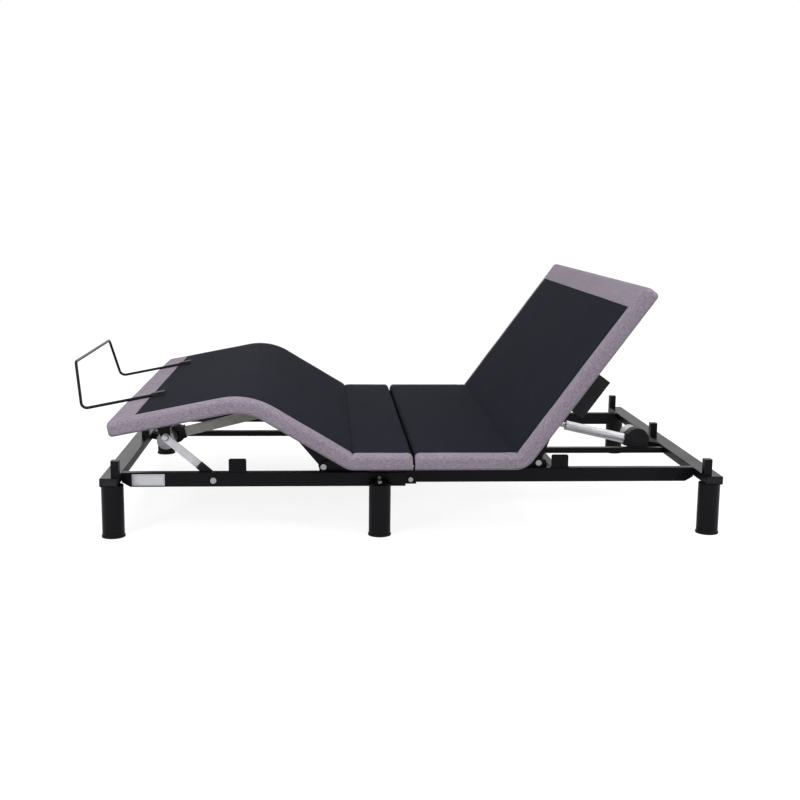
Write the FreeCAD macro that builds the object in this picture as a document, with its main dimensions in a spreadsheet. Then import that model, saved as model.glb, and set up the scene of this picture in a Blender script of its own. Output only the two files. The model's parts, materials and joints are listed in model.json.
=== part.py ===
"""Adjustable bed base: a two-part steel frame on six legs, a hinged upholstered deck and two actuators.

Millimetres, +Z up, +X towards the head end, -Y is the near side. The rest pose has the head panel up
and the knee section bent. Driving sizes live in the spreadsheet; every solid is bound to them.
"""
import FreeCAD, Part
import math
import os
import re
import Sketcher

Vector = FreeCAD.Vector

# Every size that can be set by itself, in millimetres or degrees.
SIZES = {
    # frame
    "frame_middle": 69.37, "frame_length": 2042.0, "crossbar_width": 58.0, "crossbar_length": 1355.0,
    "crossbar_base": 171.0, "crossbar_height": 28.0, "rail_width": 30.0, "rail_height": 48.0,
    "foot_rail_outer": 597.0, "head_rail_outer": 542.0, "foot_rail_end": -30.0,
    "rail_overlap": 66.0, "splice_reach": 38.0, "tube_wall": 2.0, "tube_rounding": 3.0,
    "rail_chamfer": 30.0, "inner_tube_width": 30.0, "foot_inner_tube_x": -255.0,
    "head_inner_tube_x": 500.0, "tie_width": 30.0, "tie_height": 20.0, "tie_offset": 150.0, "tie_drop": 7.0,
    # legs
    "leg_diameter": 72.0, "leg_inset": 36.0, "leg_end_inset": 29.5, "middle_leg_x": -118.0,
    "glide_height": 6.0, "glide_flare": 2.0, "leg_bolt_drop": 17.5, "leg_bolt_radius": 6.0,
    "groove_depth": 1.5, "groove_height": 3.0, "bracket_plate": 4.0,
    # posts and rests
    "post_width": 26.0, "post_shift": 19.0, "post_end_gap": 11.5, "tab_length": 58.0,
    "tab_drop": 9.0, "tab_corner": 4.0, "rest_gap": 0.5, "head_tab_x": 500.0, "foot_tab_x": -586.0,
    # deck
    "half_width": 757.0, "deck_top": 290.0, "board_top": 270.0, "board_bottom": 254.0,
    "deck_bottom": 239.0, "cover": 12.0, "slat_width": 40.0, "slat_inset": 43.0, "end_gap": 3.4,
    "thigh_crease": -211.0, "split": -14.0, "head_crease": 325.0, "head_length": 674.0,
    "thigh_length": 331.1, "knee_length": 70.0, "leg_section_length": 401.0, "hinge_height": 285.0,
    "knee_hinge_height": 250.0, "head_angle": 54.0, "thigh_angle": 30.7, "leg_slope": 11.3,
    # hinges
    "knuckle_radius": 3.8, "hinge_pin_radius": 2.0, "running_gap": 0.05, "leaf_length": 32.0,
    "leaf_half": 30.0, "leaf_plate": 2.0, "leaf_start": 5.0, "knuckle_half": 9.7, "leaf_gap": 0.3,
    "hinge_spacing": 488.0,
    # lift frames
    "lift_pivot_height": 212.0, "foot_pivot_x": -303.0, "head_pivot_x": 430.0, "foot_arm": 190.0,
    "head_arm": 290.0, "arm_depth": 18.0, "arm_heel": 12.0, "gusset_start": 60.0,
    "foot_gusset_rise": 30.0, "head_gusset_rise": 14.0, "arm_plate": 8.0, "arm_gap": 5.0,
    "torque_tube_radius": 17.0, "foot_glide_radius": 15.0, "head_glide_radius": 18.0,
    "glide_width": 30.0, "foot_arm_angle": 49.7, "head_arm_angle": 69.2, "pivot_bolt_radius": 6.0,
    "bolt_head": 6.0,
    # levers and actuators
    "foot_lever": 130.0, "head_lever": 92.0, "foot_lever_angle": 49.0, "head_lever_angle": 66.0,
    "foot_window": 15.0, "head_window": 20.0, "window_rim": 9.0, "actuator_y": 110.0,
    "foot_base_x": -935.0, "foot_base_z": 177.0, "head_base_x": 940.0, "head_base_z": 190.0,
    "rod_pin_radius": 6.0, "rod_radius": 10.0, "foot_tube_radius": 17.0, "head_tube_radius": 18.0,
    "screw_radius": 5.0, "rod_bore_gap": 0.5, "fork_plate": 6.0, "fork_gap": 0.6,
    "fork_radius": 14.0, "fork_depth": 62.0, "foot_housing_end": 102.0, "head_housing_end": 113.0,
    "housing_height": 46.0, "housing_width": 44.0, "foot_gear_x": 68.0, "head_gear_x": 66.0,
    "foot_gear_radius": 33.0, "head_gear_radius": 44.0, "foot_gear_rise": 0.0,
    "head_gear_rise": 8.0, "foot_motor_x": 38.0, "head_motor_x": 66.0, "motor_radius": 34.0,
    "motor_length": 92.0, "foot_tube_length": 284.0, "head_tube_length": 230.0, "screw_seat": 30.0,
    "rod_start": 221.0, "eye_radius": 13.0, "eye_width": 16.0, "base_pin_radius": 5.0,
    # leg support links
    "link_rail_x": -665.0, "link_rail_z": 173.0, "link_length": 208.1, "link_angle": 40.49,
    "link_width": 26.0, "link_plate": 6.0, "link_gap": 8.0, "link_pin_back": 261.0,
    "link_pin_drop": 78.0, "link_bolt_radius": 5.0, "link_hole_gap": 3.5, "link_side_gap": 2.0,
    "link_head_rim": 1.5, "link_bracket_width": 40.0,
    # control box, retainer bar, label
    "box_length": 147.0, "box_width": 140.0, "box_height": 72.5, "box_along": 215.0,
    "box_wall": 3.0, "box_y": -633.0, "rod_bar_radius": 5.0, "bar_inner": 261.5, "bar_reach": 544.5,
    "bar_half": 394.0, "bar_top_half": 320.0, "bar_height": 156.0, "bar_bend": 22.0,
    "bar_lift": 3.0, "clip_length": 40.0, "clip_width": 24.0, "clip_height": 12.0,
    "label_start": -930.0, "label_end": -824.0, "label_height": 38.0, "label_sheet": 0.6,
    # small steps and clearances
    "overcut": 1.0, "splice_bolt_drop": 4.0, "splice_bolt_radius": 8.0, "groove_rise": 18.0,
    "leg_flange_reach": 20.0, "leg_flange_half": 30.0, "leg_web_drop": 3.0, "leg_nut_radius": 8.0,
    "tab_foot": 5.0, "tab_setback": 6.0, "foot_bracket_back": 14.0, "foot_bracket_reach": 60.0,
    "bracket_crease_gap": 5.0, "foot_bracket_neck": 6.0, "foot_bracket_crown": 15.0,
    "foot_bracket_shoulder": 8.0, "head_bracket_reach": 80.0, "head_bracket_back": 30.0,
    "head_bracket_neck": 26.0, "head_bracket_shoulder": 10.0, "head_bracket_crown": 17.0,
    "pivot_plate_offset": 4.0, "pivot_bolt_spare": 2.0, "pivot_bolt_stand": 6.0, "bolt_rim": 4.0,
    "lever_tip": 8.0, "eye_step": 2.0, "screw_stop": 10.0, "fork_web": 8.0, "pin_end": 2.0,
    "ear_reach": 12.0, "ear_step": 2.0, "ear_gap": 1.0, "ear_pin_end": 4.0, "link_corner": 6.0,
    "link_face_gap": 0.2, "link_web_flare": 10.0, "link_web_shoulder": 8.0, "link_web_toe": 13.0,
    "spacer_rim": 5.0, "spacer_gap": 0.3, "leaf_lap": 3.0, "pocket_gap": 0.4, "inlet_low": 8.0,
    "inlet_high": 30.0, "inlet_half": 14.0, "inlet_lip": 2.0, "inlet_depth": 16.0,
    "recess_depth": 12.0, "inlet_wall": 3.0, "clip_nose": 6.0, "clip_crown": 4.0, "bar_seat": 1.5,
}

# Sizes that follow from the ones above.
DERIVED = {
    "frame_half": "frame_length / 2",
    "rail_top": "crossbar_base + crossbar_height",
    "rail_base": "rail_top - rail_height",
    "foot_inner_face": "-frame_half + crossbar_width",
    "head_inner_face": "frame_half - crossbar_width",
    "foot_rail_inner": "foot_rail_outer - rail_width",
    "head_rail_inner": "head_rail_outer - rail_width",
    "leg_y": "crossbar_length / 2 - leg_end_inset",
    "post_x": "crossbar_x - post_shift",
    "post_y": "crossbar_length / 2 - post_width / 2 - post_end_gap",
    "crossbar_x": "frame_half - crossbar_width / 2",
    "inner_half": "half_width - cover",
    "knee_angle": "(thigh_angle - leg_slope) / 2",
    "knee_drop": "hinge_height - knee_hinge_height",
    "knee_x": "thigh_crease - thigh_length * cos(thigh_angle) - knee_drop * sin(thigh_angle)",
    "knee_z": "hinge_height + thigh_length * sin(thigh_angle) - knee_drop * cos(thigh_angle)",
    "ankle_x": "knee_x - knee_length * cos(knee_angle)",
    "ankle_z": "knee_z + knee_length * sin(knee_angle)",
    "lever_x": "foot_pivot_x - foot_lever * cos(foot_lever_angle)",
    "lever_z": "lift_pivot_height + foot_lever * sin(foot_lever_angle)",
    "foot_run": "lever_x - foot_base_x",
    "foot_rise": "lever_z - foot_base_z",
    "foot_span": "sqrt(foot_run * foot_run + foot_rise * foot_rise)",
    "foot_tilt": "atan2(foot_rise; foot_run)",
    "head_lever_x": "head_pivot_x + head_lever * cos(head_lever_angle)",
    "head_lever_z": "lift_pivot_height + head_lever * sin(head_lever_angle)",
    "head_run": "head_base_x - head_lever_x",
    "head_rise": "head_lever_z - head_base_z",
    "head_span": "sqrt(head_run * head_run + head_rise * head_rise)",
    "head_tilt": "atan2(head_rise; head_run)",
    "link_y": "foot_rail_inner - link_gap - link_plate / 2",
    "link_inner_face": "foot_rail_inner - link_gap - link_plate",
}

document = FreeCAD.newDocument("AdjustableBedBase")
sheet = document.addObject("Spreadsheet::Sheet", "Sizes")
for row, (name, size) in enumerate(SIZES.items(), start=1):
    sheet.set(f"A{row}", name)
    sheet.set(f"B{row}", str(size))
    sheet.setAlias(f"B{row}", name)
document.recompute()

# Each moving group's own frame: origin X and Z in the base frame and its turn about +Y.
FRAMES = {
    "root": ("0", "0", "0"),
    "head": ("head_crease", "hinge_height", "-head_angle"),
    "thigh": ("thigh_crease", "hinge_height", "thigh_angle"),
    "knee": ("knee_x", "knee_z", "knee_angle"),
    "leg": ("ankle_x", "ankle_z", "-leg_slope"),
    "head_lift": ("head_pivot_x", "lift_pivot_height", "-head_arm_angle"),
    "foot_lift": ("foot_pivot_x", "lift_pivot_height", "foot_arm_angle"),
    "link": ("link_rail_x", "link_rail_z", "link_angle"),
    "head_actuator": ("head_base_x", "head_base_z", "head_tilt"),
    "foot_actuator": ("foot_base_x", "foot_base_z", "-foot_tilt"),
}

SUBPARTS = []


def formula(text):
    """Returns a phrase of size names as an expression on the spreadsheet."""

    def swap(match):
        word = match.group(0)
        if word in SIZES:
            return "Sizes." + word
        if word in DERIVED:
            return "(" + formula(DERIVED[word]) + ")"
        return word

    return re.sub(r"[a-z][a-z_0-9]*", swap, str(text))


def size(text):
    """Returns a phrase of size names as a plain number."""
    result = sheet.evalExpression(formula(text))
    return float(getattr(result, "Value", result))


def bind(item, prop, text):
    item.setExpression(prop, formula(text))


def block(name, x, y, z):
    """A box between two bounds along each axis."""
    item = document.addObject("Part::Box", name)
    for prop, axis, (low, high) in zip(("Length", "Width", "Height"), "xyz", (x, y, z)):
        bind(item, prop, f"({high}) - ({low})")
        bind(item, f"Placement.Base.{axis}", low)
    return item


AXES = {
    "x": FreeCAD.Rotation(Vector(0, 1, 0), 90),
    "y": FreeCAD.Rotation(Vector(1, 0, 0), -90),
    "z": FreeCAD.Rotation(),
}


def cylinder(name, axis, start, radius, length):
    """A cylinder from a start point along +x, +y or +z."""
    item = document.addObject("Part::Cylinder", name)
    item.Placement = FreeCAD.Placement(Vector(), AXES[axis])
    bind(item, "Radius", radius)
    bind(item, "Height", length)
    for letter, text in zip("xyz", start):
        bind(item, f"Placement.Base.{letter}", text)
    return item


def cut(name, base, tool):
    item = document.addObject("Part::Cut", name)
    item.Base = base
    item.Tool = tool
    return item


def fuse(name, pieces):
    if len(pieces) == 1:
        return pieces[0]
    item = document.addObject("Part::MultiFuse", name)
    item.Shapes = pieces
    item.Refine = True
    return item


def group(name, pieces):
    item = document.addObject("Part::Compound", name)
    item.Links = pieces
    return item


def place(item, frame, y="0"):
    """Seats an item that was drawn in a frame's own coordinates."""
    origin_x, origin_z, turn = FRAMES[frame]
    item.Placement = FreeCAD.Placement(Vector(), FreeCAD.Rotation(Vector(0, 1, 0), 1))
    bind(item, "Placement.Base.x", f"frame_middle + ({origin_x})")
    bind(item, "Placement.Base.y", y)
    bind(item, "Placement.Base.z", origin_z)
    bind(item, "Placement.Rotation.Angle", turn)
    return item


def subpart(label, pieces, frame="root"):
    """Names a finished piece, or several loose pieces of one kind, and seats it in its frame."""
    item = place(group(label, pieces), frame)
    item.Label = label
    SUBPARTS.append(item)
    return item


def plate(name, points, thickness, holes=(), y="0"):
    """A flat plate in the XZ plane: corner points, its thickness across Y and (x, z, radius) holes."""
    body = document.addObject("PartDesign::Body", name)
    sketch = body.newObject("Sketcher::SketchObject", name + "_outline")
    plane = [item for item in body.Origin.OriginFeatures if item.Role == "XZ_Plane"][0]
    sketch.AttachmentSupport = [(plane, "")]
    sketch.MapMode = "FlatFace"
    corners = [Vector(size(x), size(z), 0) for x, z in points]
    count = len(corners)
    for index in range(count):
        sketch.addGeometry(Part.LineSegment(corners[index], corners[(index + 1) % count]), False)
    for index in range(count):
        sketch.addConstraint(Sketcher.Constraint("Coincident", index, 2, (index + 1) % count, 1))
    for index, (x, z) in enumerate(points):
        fix_point(sketch, index, 1, x, z)
    for x, z, radius in holes:
        index = sketch.addGeometry(Part.Circle(Vector(size(x), size(z), 0), Vector(0, 0, 1), size(radius)),
                                   False)
        fix_point(sketch, index, 3, x, z)
        number = sketch.addConstraint(Sketcher.Constraint("Radius", index, size(radius)))
        bind(sketch, f"Constraints[{number}]", radius)
    pad = body.newObject("PartDesign::Pad", name + "_pad")
    pad.Profile = sketch
    pad.Midplane = True
    bind(pad, "Length", thickness)
    body.Tip = pad
    bind(body, "Placement.Base.y", y)
    return body


def fix_point(sketch, index, vertex, x, z):
    """Ties one sketch point to its two coordinates."""
    for kind, text in (("DistanceX", x), ("DistanceY", z)):
        number = sketch.addConstraint(Sketcher.Constraint(kind, -1, 1, index, vertex, size(text)))
        bind(sketch, f"Constraints[{number}]", text)


def tube(name, x, y, z, along, wall="tube_wall"):
    """A rectangular tube, open at both ends, with rounded long edges."""
    outer = block(name + "_outside", x, y, z)
    document.recompute()
    direction = Vector(*(1.0 if letter == along else 0.0 for letter in "xyz"))
    edges = []
    for number, edge in enumerate(outer.Shape.Edges, start=1):
        if abs(edge.tangentAt(0).dot(direction)) > 0.9:
            edges.append((number, size("tube_rounding"), size("tube_rounding")))
    rounded = document.addObject("Part::Fillet", name + "_rounded")
    rounded.Base = outer
    rounded.Edges = edges
    spans = []
    for letter, (low, high) in zip("xyz", (x, y, z)):
        if letter == along:
            spans.append((f"({low}) - 1", f"({high}) + 1"))
        else:
            spans.append((f"({low}) + {wall}", f"({high}) - {wall}"))
    return cut(name + "_tube", rounded, block(name + "_inside", *spans))


def mirrored_y(low, high, side):
    """Bounds on the near side (side -1) or the far side (side 1)."""
    if side < 0:
        return (f"-({high})", f"-({low})")
    return (low, high)


SIDES = (("near", -1), ("far", 1))
RAIL_Z = ("rail_base", "rail_top")
CROSSBAR_Z = ("crossbar_base", "rail_top")
CROSSBAR_Y = ("-crossbar_length / 2", "crossbar_length / 2")


def make_rails():
    for side_name, side in SIDES:
        name = f"foot_rail_{side_name}"
        y = mirrored_y("foot_rail_inner", "foot_rail_outer", side)
        rail = tube(name, ("foot_inner_face", "foot_rail_end"), y, RAIL_Z, "x")
        corner = plate(name + "_corner", [
            ("foot_inner_face - overcut", "rail_base - overcut"), ("foot_inner_face + rail_chamfer",
                                                                   "rail_base - overcut"),
            ("foot_inner_face - overcut",
             "rail_base + rail_chamfer / 2 + tube_wall")], "rail_width + 2 * tube_wall",
            y=f"{side} * (foot_rail_outer - rail_width / 2)")
        subpart(name, [cut(name + "_cut", rail, corner)])
        name = f"head_rail_{side_name}"
        y = mirrored_y("head_rail_inner", "head_rail_outer", side)
        rail = tube(name, ("foot_rail_end - rail_overlap", "head_inner_face"), y, RAIL_Z, "x")
        corner = plate(name + "_corner", [
            ("head_inner_face + overcut", "rail_base - overcut"),
            ("head_inner_face + overcut", "rail_base + rail_chamfer / 2 + tube_wall"),
            ("head_inner_face - rail_chamfer", "rail_base - overcut")], "rail_width + 2 * tube_wall",
            y=f"{side} * (head_rail_outer - rail_width / 2)")
        subpart(name, [cut(name + "_cut", rail, corner)])


def make_crossbars():
    subpart("foot_crossbar", [tube("foot_crossbar_bar", ("-frame_half", "foot_inner_face"), CROSSBAR_Y,
                                   CROSSBAR_Z,
                                   "y")])
    subpart("head_crossbar", [tube("head_crossbar_bar", ("head_inner_face", "frame_half"), CROSSBAR_Y,
                                   CROSSBAR_Z,
                                   "y")])
    tubes = []
    for end, middle, top in (("foot", "foot_inner_tube_x", "rail_top"),
                             ("head", "head_inner_tube_x", "rail_base + inner_tube_width")):
        inner_z = (f"{top} - inner_tube_width", top)
        span = (f"{middle} - inner_tube_width / 2", f"{middle} + inner_tube_width / 2")
        tubes.append(tube(end + "_inner", span, (f"-{end}_rail_inner", f"{end}_rail_inner"), inner_z, "y"))
    subpart("inner_cross_tubes", tubes)
    tie_z = ("rail_top - tie_drop - tie_height", "rail_top - tie_drop")
    ties = [
        tube("foot_tie", ("foot_inner_face", "foot_inner_tube_x - inner_tube_width / 2"),
             ("tie_offset", "tie_offset + tie_width"), tie_z, "x"),
        tube("head_tie", ("head_inner_tube_x + inner_tube_width / 2", "head_inner_face"),
             ("-tie_offset - tie_width", "-tie_offset"), tie_z, "x")]
    subpart("tie_bars", ties)


def make_splices():
    """Spacers that join the nested ends of the foot and head rails."""
    spacers = []
    bolts = []
    for side_name, side in SIDES:
        y = mirrored_y("head_rail_outer", "foot_rail_inner", side)
        spacers.append(tube(f"splice_{side_name}",
                            ("foot_rail_end - rail_overlap", "foot_rail_end + splice_reach"),
                            y, RAIL_Z, "x", "bracket_plate"))
        start = "foot_rail_inner" if side > 0 else "-foot_rail_inner - bolt_head"
        bolts.append(cylinder(f"splice_bolt_{side_name}", "y",
                              ("foot_rail_end + splice_reach / 2", start,
                               "crossbar_base - splice_bolt_drop"), "splice_bolt_radius", "bolt_head"))
    subpart("splice_brackets", spacers)
    return bolts


def make_legs():
    legs = []
    glides = []
    brackets = []
    bolts = []
    places = [("-frame_half + leg_inset", "leg_y"), ("middle_leg_x", "leg_y"),
              ("frame_half - leg_inset", "leg_y")]
    for index, (x, y) in enumerate(places):
        for side_name, side in SIDES:
            spot = (x, f"{side} * ({y})")
            name = f"leg_{index}_{side_name}"
            shaft = cylinder(name, "z", (*spot, "glide_height"), "leg_diameter / 2",
                             "crossbar_base - glide_height")
            ring = cylinder(name + "_ring", "z", (*spot, "groove_rise"), "leg_diameter / 2 + overcut",
                            "groove_height")
            trim = cylinder(name + "_trim", "z", (*spot, "groove_rise"), "leg_diameter / 2 - groove_depth",
                            "groove_height")
            legs.append(cut(name + "_turned", shaft, cut(name + "_groove", ring, trim)))
            glides.append(cylinder(name + "_glide", "z", (*spot, "0"), "leg_diameter / 2 + glide_flare",
                                   "glide_height"))
    subpart("legs", legs)
    subpart("leg_glides", glides)
    for side_name, side in SIDES:
        flange_y = mirrored_y("foot_rail_outer", "leg_y + leg_flange_reach", side)
        web_y = mirrored_y("foot_rail_outer", "foot_rail_outer + bracket_plate", side)
        x = ("middle_leg_x - leg_flange_half", "middle_leg_x + leg_flange_half")
        flange = block(f"leg_flange_{side_name}", x, flange_y,
                       ("crossbar_base", "crossbar_base + bracket_plate"))
        web = block(f"leg_web_{side_name}", x, web_y, ("crossbar_base", "rail_top - leg_web_drop"))
        brackets.append(fuse(f"leg_bracket_{side_name}", [flange, web]))
        web_face = "foot_rail_outer + bracket_plate"
        face = mirrored_y(web_face, f"{web_face} + bolt_head", side)[0]
        bolts.append(cylinder(f"leg_bolt_{side_name}", "y",
                              ("middle_leg_x", face, "rail_top - leg_bolt_drop"),
                              "leg_bolt_radius", "bolt_head"))
        bolts.append(cylinder(f"leg_nut_{side_name}", "z",
                              ("middle_leg_x", f"{side} * leg_y", "crossbar_base + bracket_plate"),
                              "leg_nut_radius", "bolt_head"))
    subpart("mid_leg_brackets", brackets)
    return bolts


def make_posts():
    posts = []
    for end in (-1, 1):
        x = f"{end} * post_x"
        for place_name, y in (("near", "-(post_y)"), ("middle", "0"), ("far", "post_y")):
            name = f"post_{'foot' if end < 0 else 'head'}_{place_name}"
            posts.append(block(name, (f"{x} - post_width / 2", f"{x} + post_width / 2"),
                               (f"{y} - post_width / 2", f"{y} + post_width / 2"),
                               ("rail_top", "board_bottom - rest_gap")))
    subpart("posts", posts)
    tabs = []
    for end, x in (("foot", "foot_tab_x"), ("head", "head_tab_x")):
        top = "board_bottom - rest_gap - tab_drop"
        half = "tab_length / 2"
        points = [(f"{x} - {half} - tab_foot", "rail_top"), (f"{x} + {half} + tab_foot", "rail_top"),
                  (f"{x} + {half}", "rail_top + tab_foot"), (f"{x} + {half}", f"{top} - tab_corner"),
                  (f"{x} + {half} - tab_corner", top),
                  (f"{x} - {half} + tab_corner", top), (f"{x} - {half}", f"{top} - tab_corner"),
                  (f"{x} - {half}", "rail_top + tab_foot")]
        for side_name, side in SIDES:
            tabs.append(plate(f"tab_{end}_{side_name}", points, "bracket_plate",
                              y=f"{side} * ({end}_rail_outer - tab_setback)"))
    subpart("deck_rest_tabs", tabs)


def make_pivot_brackets():
    """Welded plates that carry the lift frames and the seat boards."""
    plates = []
    bolts = []
    layout = {
        "foot": ("foot_pivot_x", [("foot_pivot_x - foot_bracket_back", "rail_top"),
                                  ("thigh_crease + foot_bracket_reach", "rail_top"),
                                  ("thigh_crease + foot_bracket_reach",
                                   "board_bottom"), ("thigh_crease + bracket_crease_gap", "board_bottom"),
                                  ("foot_pivot_x - foot_bracket_neck",
                                   "lift_pivot_height + foot_bracket_crown"),
                                  ("foot_pivot_x - foot_bracket_back",
                                   "lift_pivot_height + foot_bracket_shoulder")]),
        "head": ("head_pivot_x", [("head_crease - head_bracket_reach", "rail_top"),
                                  ("head_pivot_x + head_bracket_back", "rail_top"),
                                  ("head_pivot_x + head_bracket_neck",
                                   "lift_pivot_height + head_bracket_shoulder"),
                                  ("head_pivot_x", "lift_pivot_height + head_bracket_crown"),
                                  ("head_crease - bracket_crease_gap", "board_bottom"),
                                  ("head_crease - head_bracket_reach", "board_bottom")]),
    }
    for end, (pivot, points) in layout.items():
        for side_name, side in SIDES:
            hole = (pivot, "lift_pivot_height", "pivot_bolt_radius")
            plates.append(plate(f"pivot_bracket_{end}_{side_name}", points, "bracket_plate", [hole],
                                y=f"{side} * ({end}_rail_inner + pivot_plate_offset)"))
            length = "bracket_plate + arm_gap + arm_plate + pivot_bolt_spare + bolt_head"
            start = (f"{end}_rail_inner + pivot_bolt_stand + bolt_head - ({length})" if side > 0
                     else f"-({end}_rail_inner) - pivot_bolt_stand - bolt_head")
            shank = cylinder(f"pivot_bolt_{end}_{side_name}", "y", (pivot, start, "lift_pivot_height"),
                             "pivot_bolt_radius", length)
            stand = f"{end}_rail_inner + pivot_bolt_stand"
            head_y = mirrored_y(stand, f"{stand} + bolt_head", side)[0]
            head = cylinder(f"pivot_bolt_head_{end}_{side_name}", "y", (pivot, head_y, "lift_pivot_height"),
                            "pivot_bolt_radius + bolt_rim", "bolt_head")
            bolts.append(fuse(f"pivot_bolt_whole_{end}_{side_name}", [shank, head]))
    subpart("pivot_brackets", plates)
    subpart("lift_pivot_bolts", bolts)


def make_lift_frame(end, direction):
    """A torque tube with two lifting arms and one lever; drawn with the arms level."""
    arm = f"{direction} * {end}_arm"
    lever = f"{direction} * {end}_lever"
    half = "arm_depth / 2"
    pieces = []
    glides = []
    arm_y = f"{end}_rail_inner - arm_gap - arm_plate / 2"
    for side_name, side in SIDES:
        name = f"{end}_arm_{side_name}"
        points = [(f"{direction} * -arm_heel", f"-{half}"), (arm, f"-{half}"), (arm, half),
                  (f"{direction} * gusset_start", f"{end}_gusset_rise"),
                  (f"{direction} * -arm_heel", f"{end}_gusset_rise")]
        bore = ("0", "0", "pivot_bolt_radius + running_gap")
        arm_body = plate(name, points, "arm_plate", [bore], y=f"{side} * ({arm_y})")
        pieces.append(arm_body)
        start = f"{arm_y} - arm_plate / 2 - glide_width" if side > 0 else f"-({arm_y} - arm_plate / 2)"
        stub = cylinder(name + "_stub", "y", (arm, start, "0"), "pivot_bolt_radius", "glide_width")
        shell = cylinder(name + "_glide", "y", (arm, start, "0"), f"{end}_glide_radius", "glide_width")
        hole = cylinder(name + "_hole", "y", (arm, start, "0"), "pivot_bolt_radius", "glide_width")
        pieces.append(stub)
        glides.append(cut(name + "_roller", shell, hole))
    length = f"2 * ({arm_y}) - arm_plate"
    pieces.append(cut(f"{end}_torque_tube",
                      cylinder(f"{end}_torque_outside", "y", ("0", f"-({length}) / 2", "0"),
                               "torque_tube_radius",
                               length),
                      cylinder(f"{end}_torque_inside", "y", ("0", f"-({length}) / 2", "0"),
                               "torque_tube_radius - tube_wall * 2", length)))
    lever_points = [("0", "-torque_tube_radius + overcut"), (lever, f"-({end}_window + window_rim)"),
                    (f"{lever} + {direction} * ({end}_window + window_rim)", "-lever_tip"),
                    (f"{lever} + {direction} * ({end}_window + window_rim)", "lever_tip"),
                    (lever, f"{end}_window + window_rim"), ("0", "torque_tube_radius - overcut")]
    lever_body = plate(f"{end}_lever_plate", lever_points, "arm_plate", [(lever, "0", f"{end}_window")])
    bore = cylinder(f"{end}_lever_bore", "y", ("0", "-arm_plate", "0"), "torque_tube_radius - overcut",
                    "2 * arm_plate")
    lever_cut = cut(f"{end}_lever_cut", lever_body, bore)
    turned = group(f"{end}_lever_turned", [lever_cut])
    turned.Placement = FreeCAD.Placement(Vector(), FreeCAD.Rotation(Vector(0, 1, 0), 1))
    bind(turned, "Placement.Base.y", f"{-direction} * actuator_y")
    bind(turned, "Placement.Rotation.Angle", f"{-direction} * ({end}_lever_angle - {end}_arm_angle)")
    pieces.append(turned)
    subpart(f"{end}_lift_frame", [fuse(f"{end}_lift_weldment", pieces)], f"{end}_lift")
    subpart(f"{end}_lift_glides", glides, f"{end}_lift")


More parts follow.
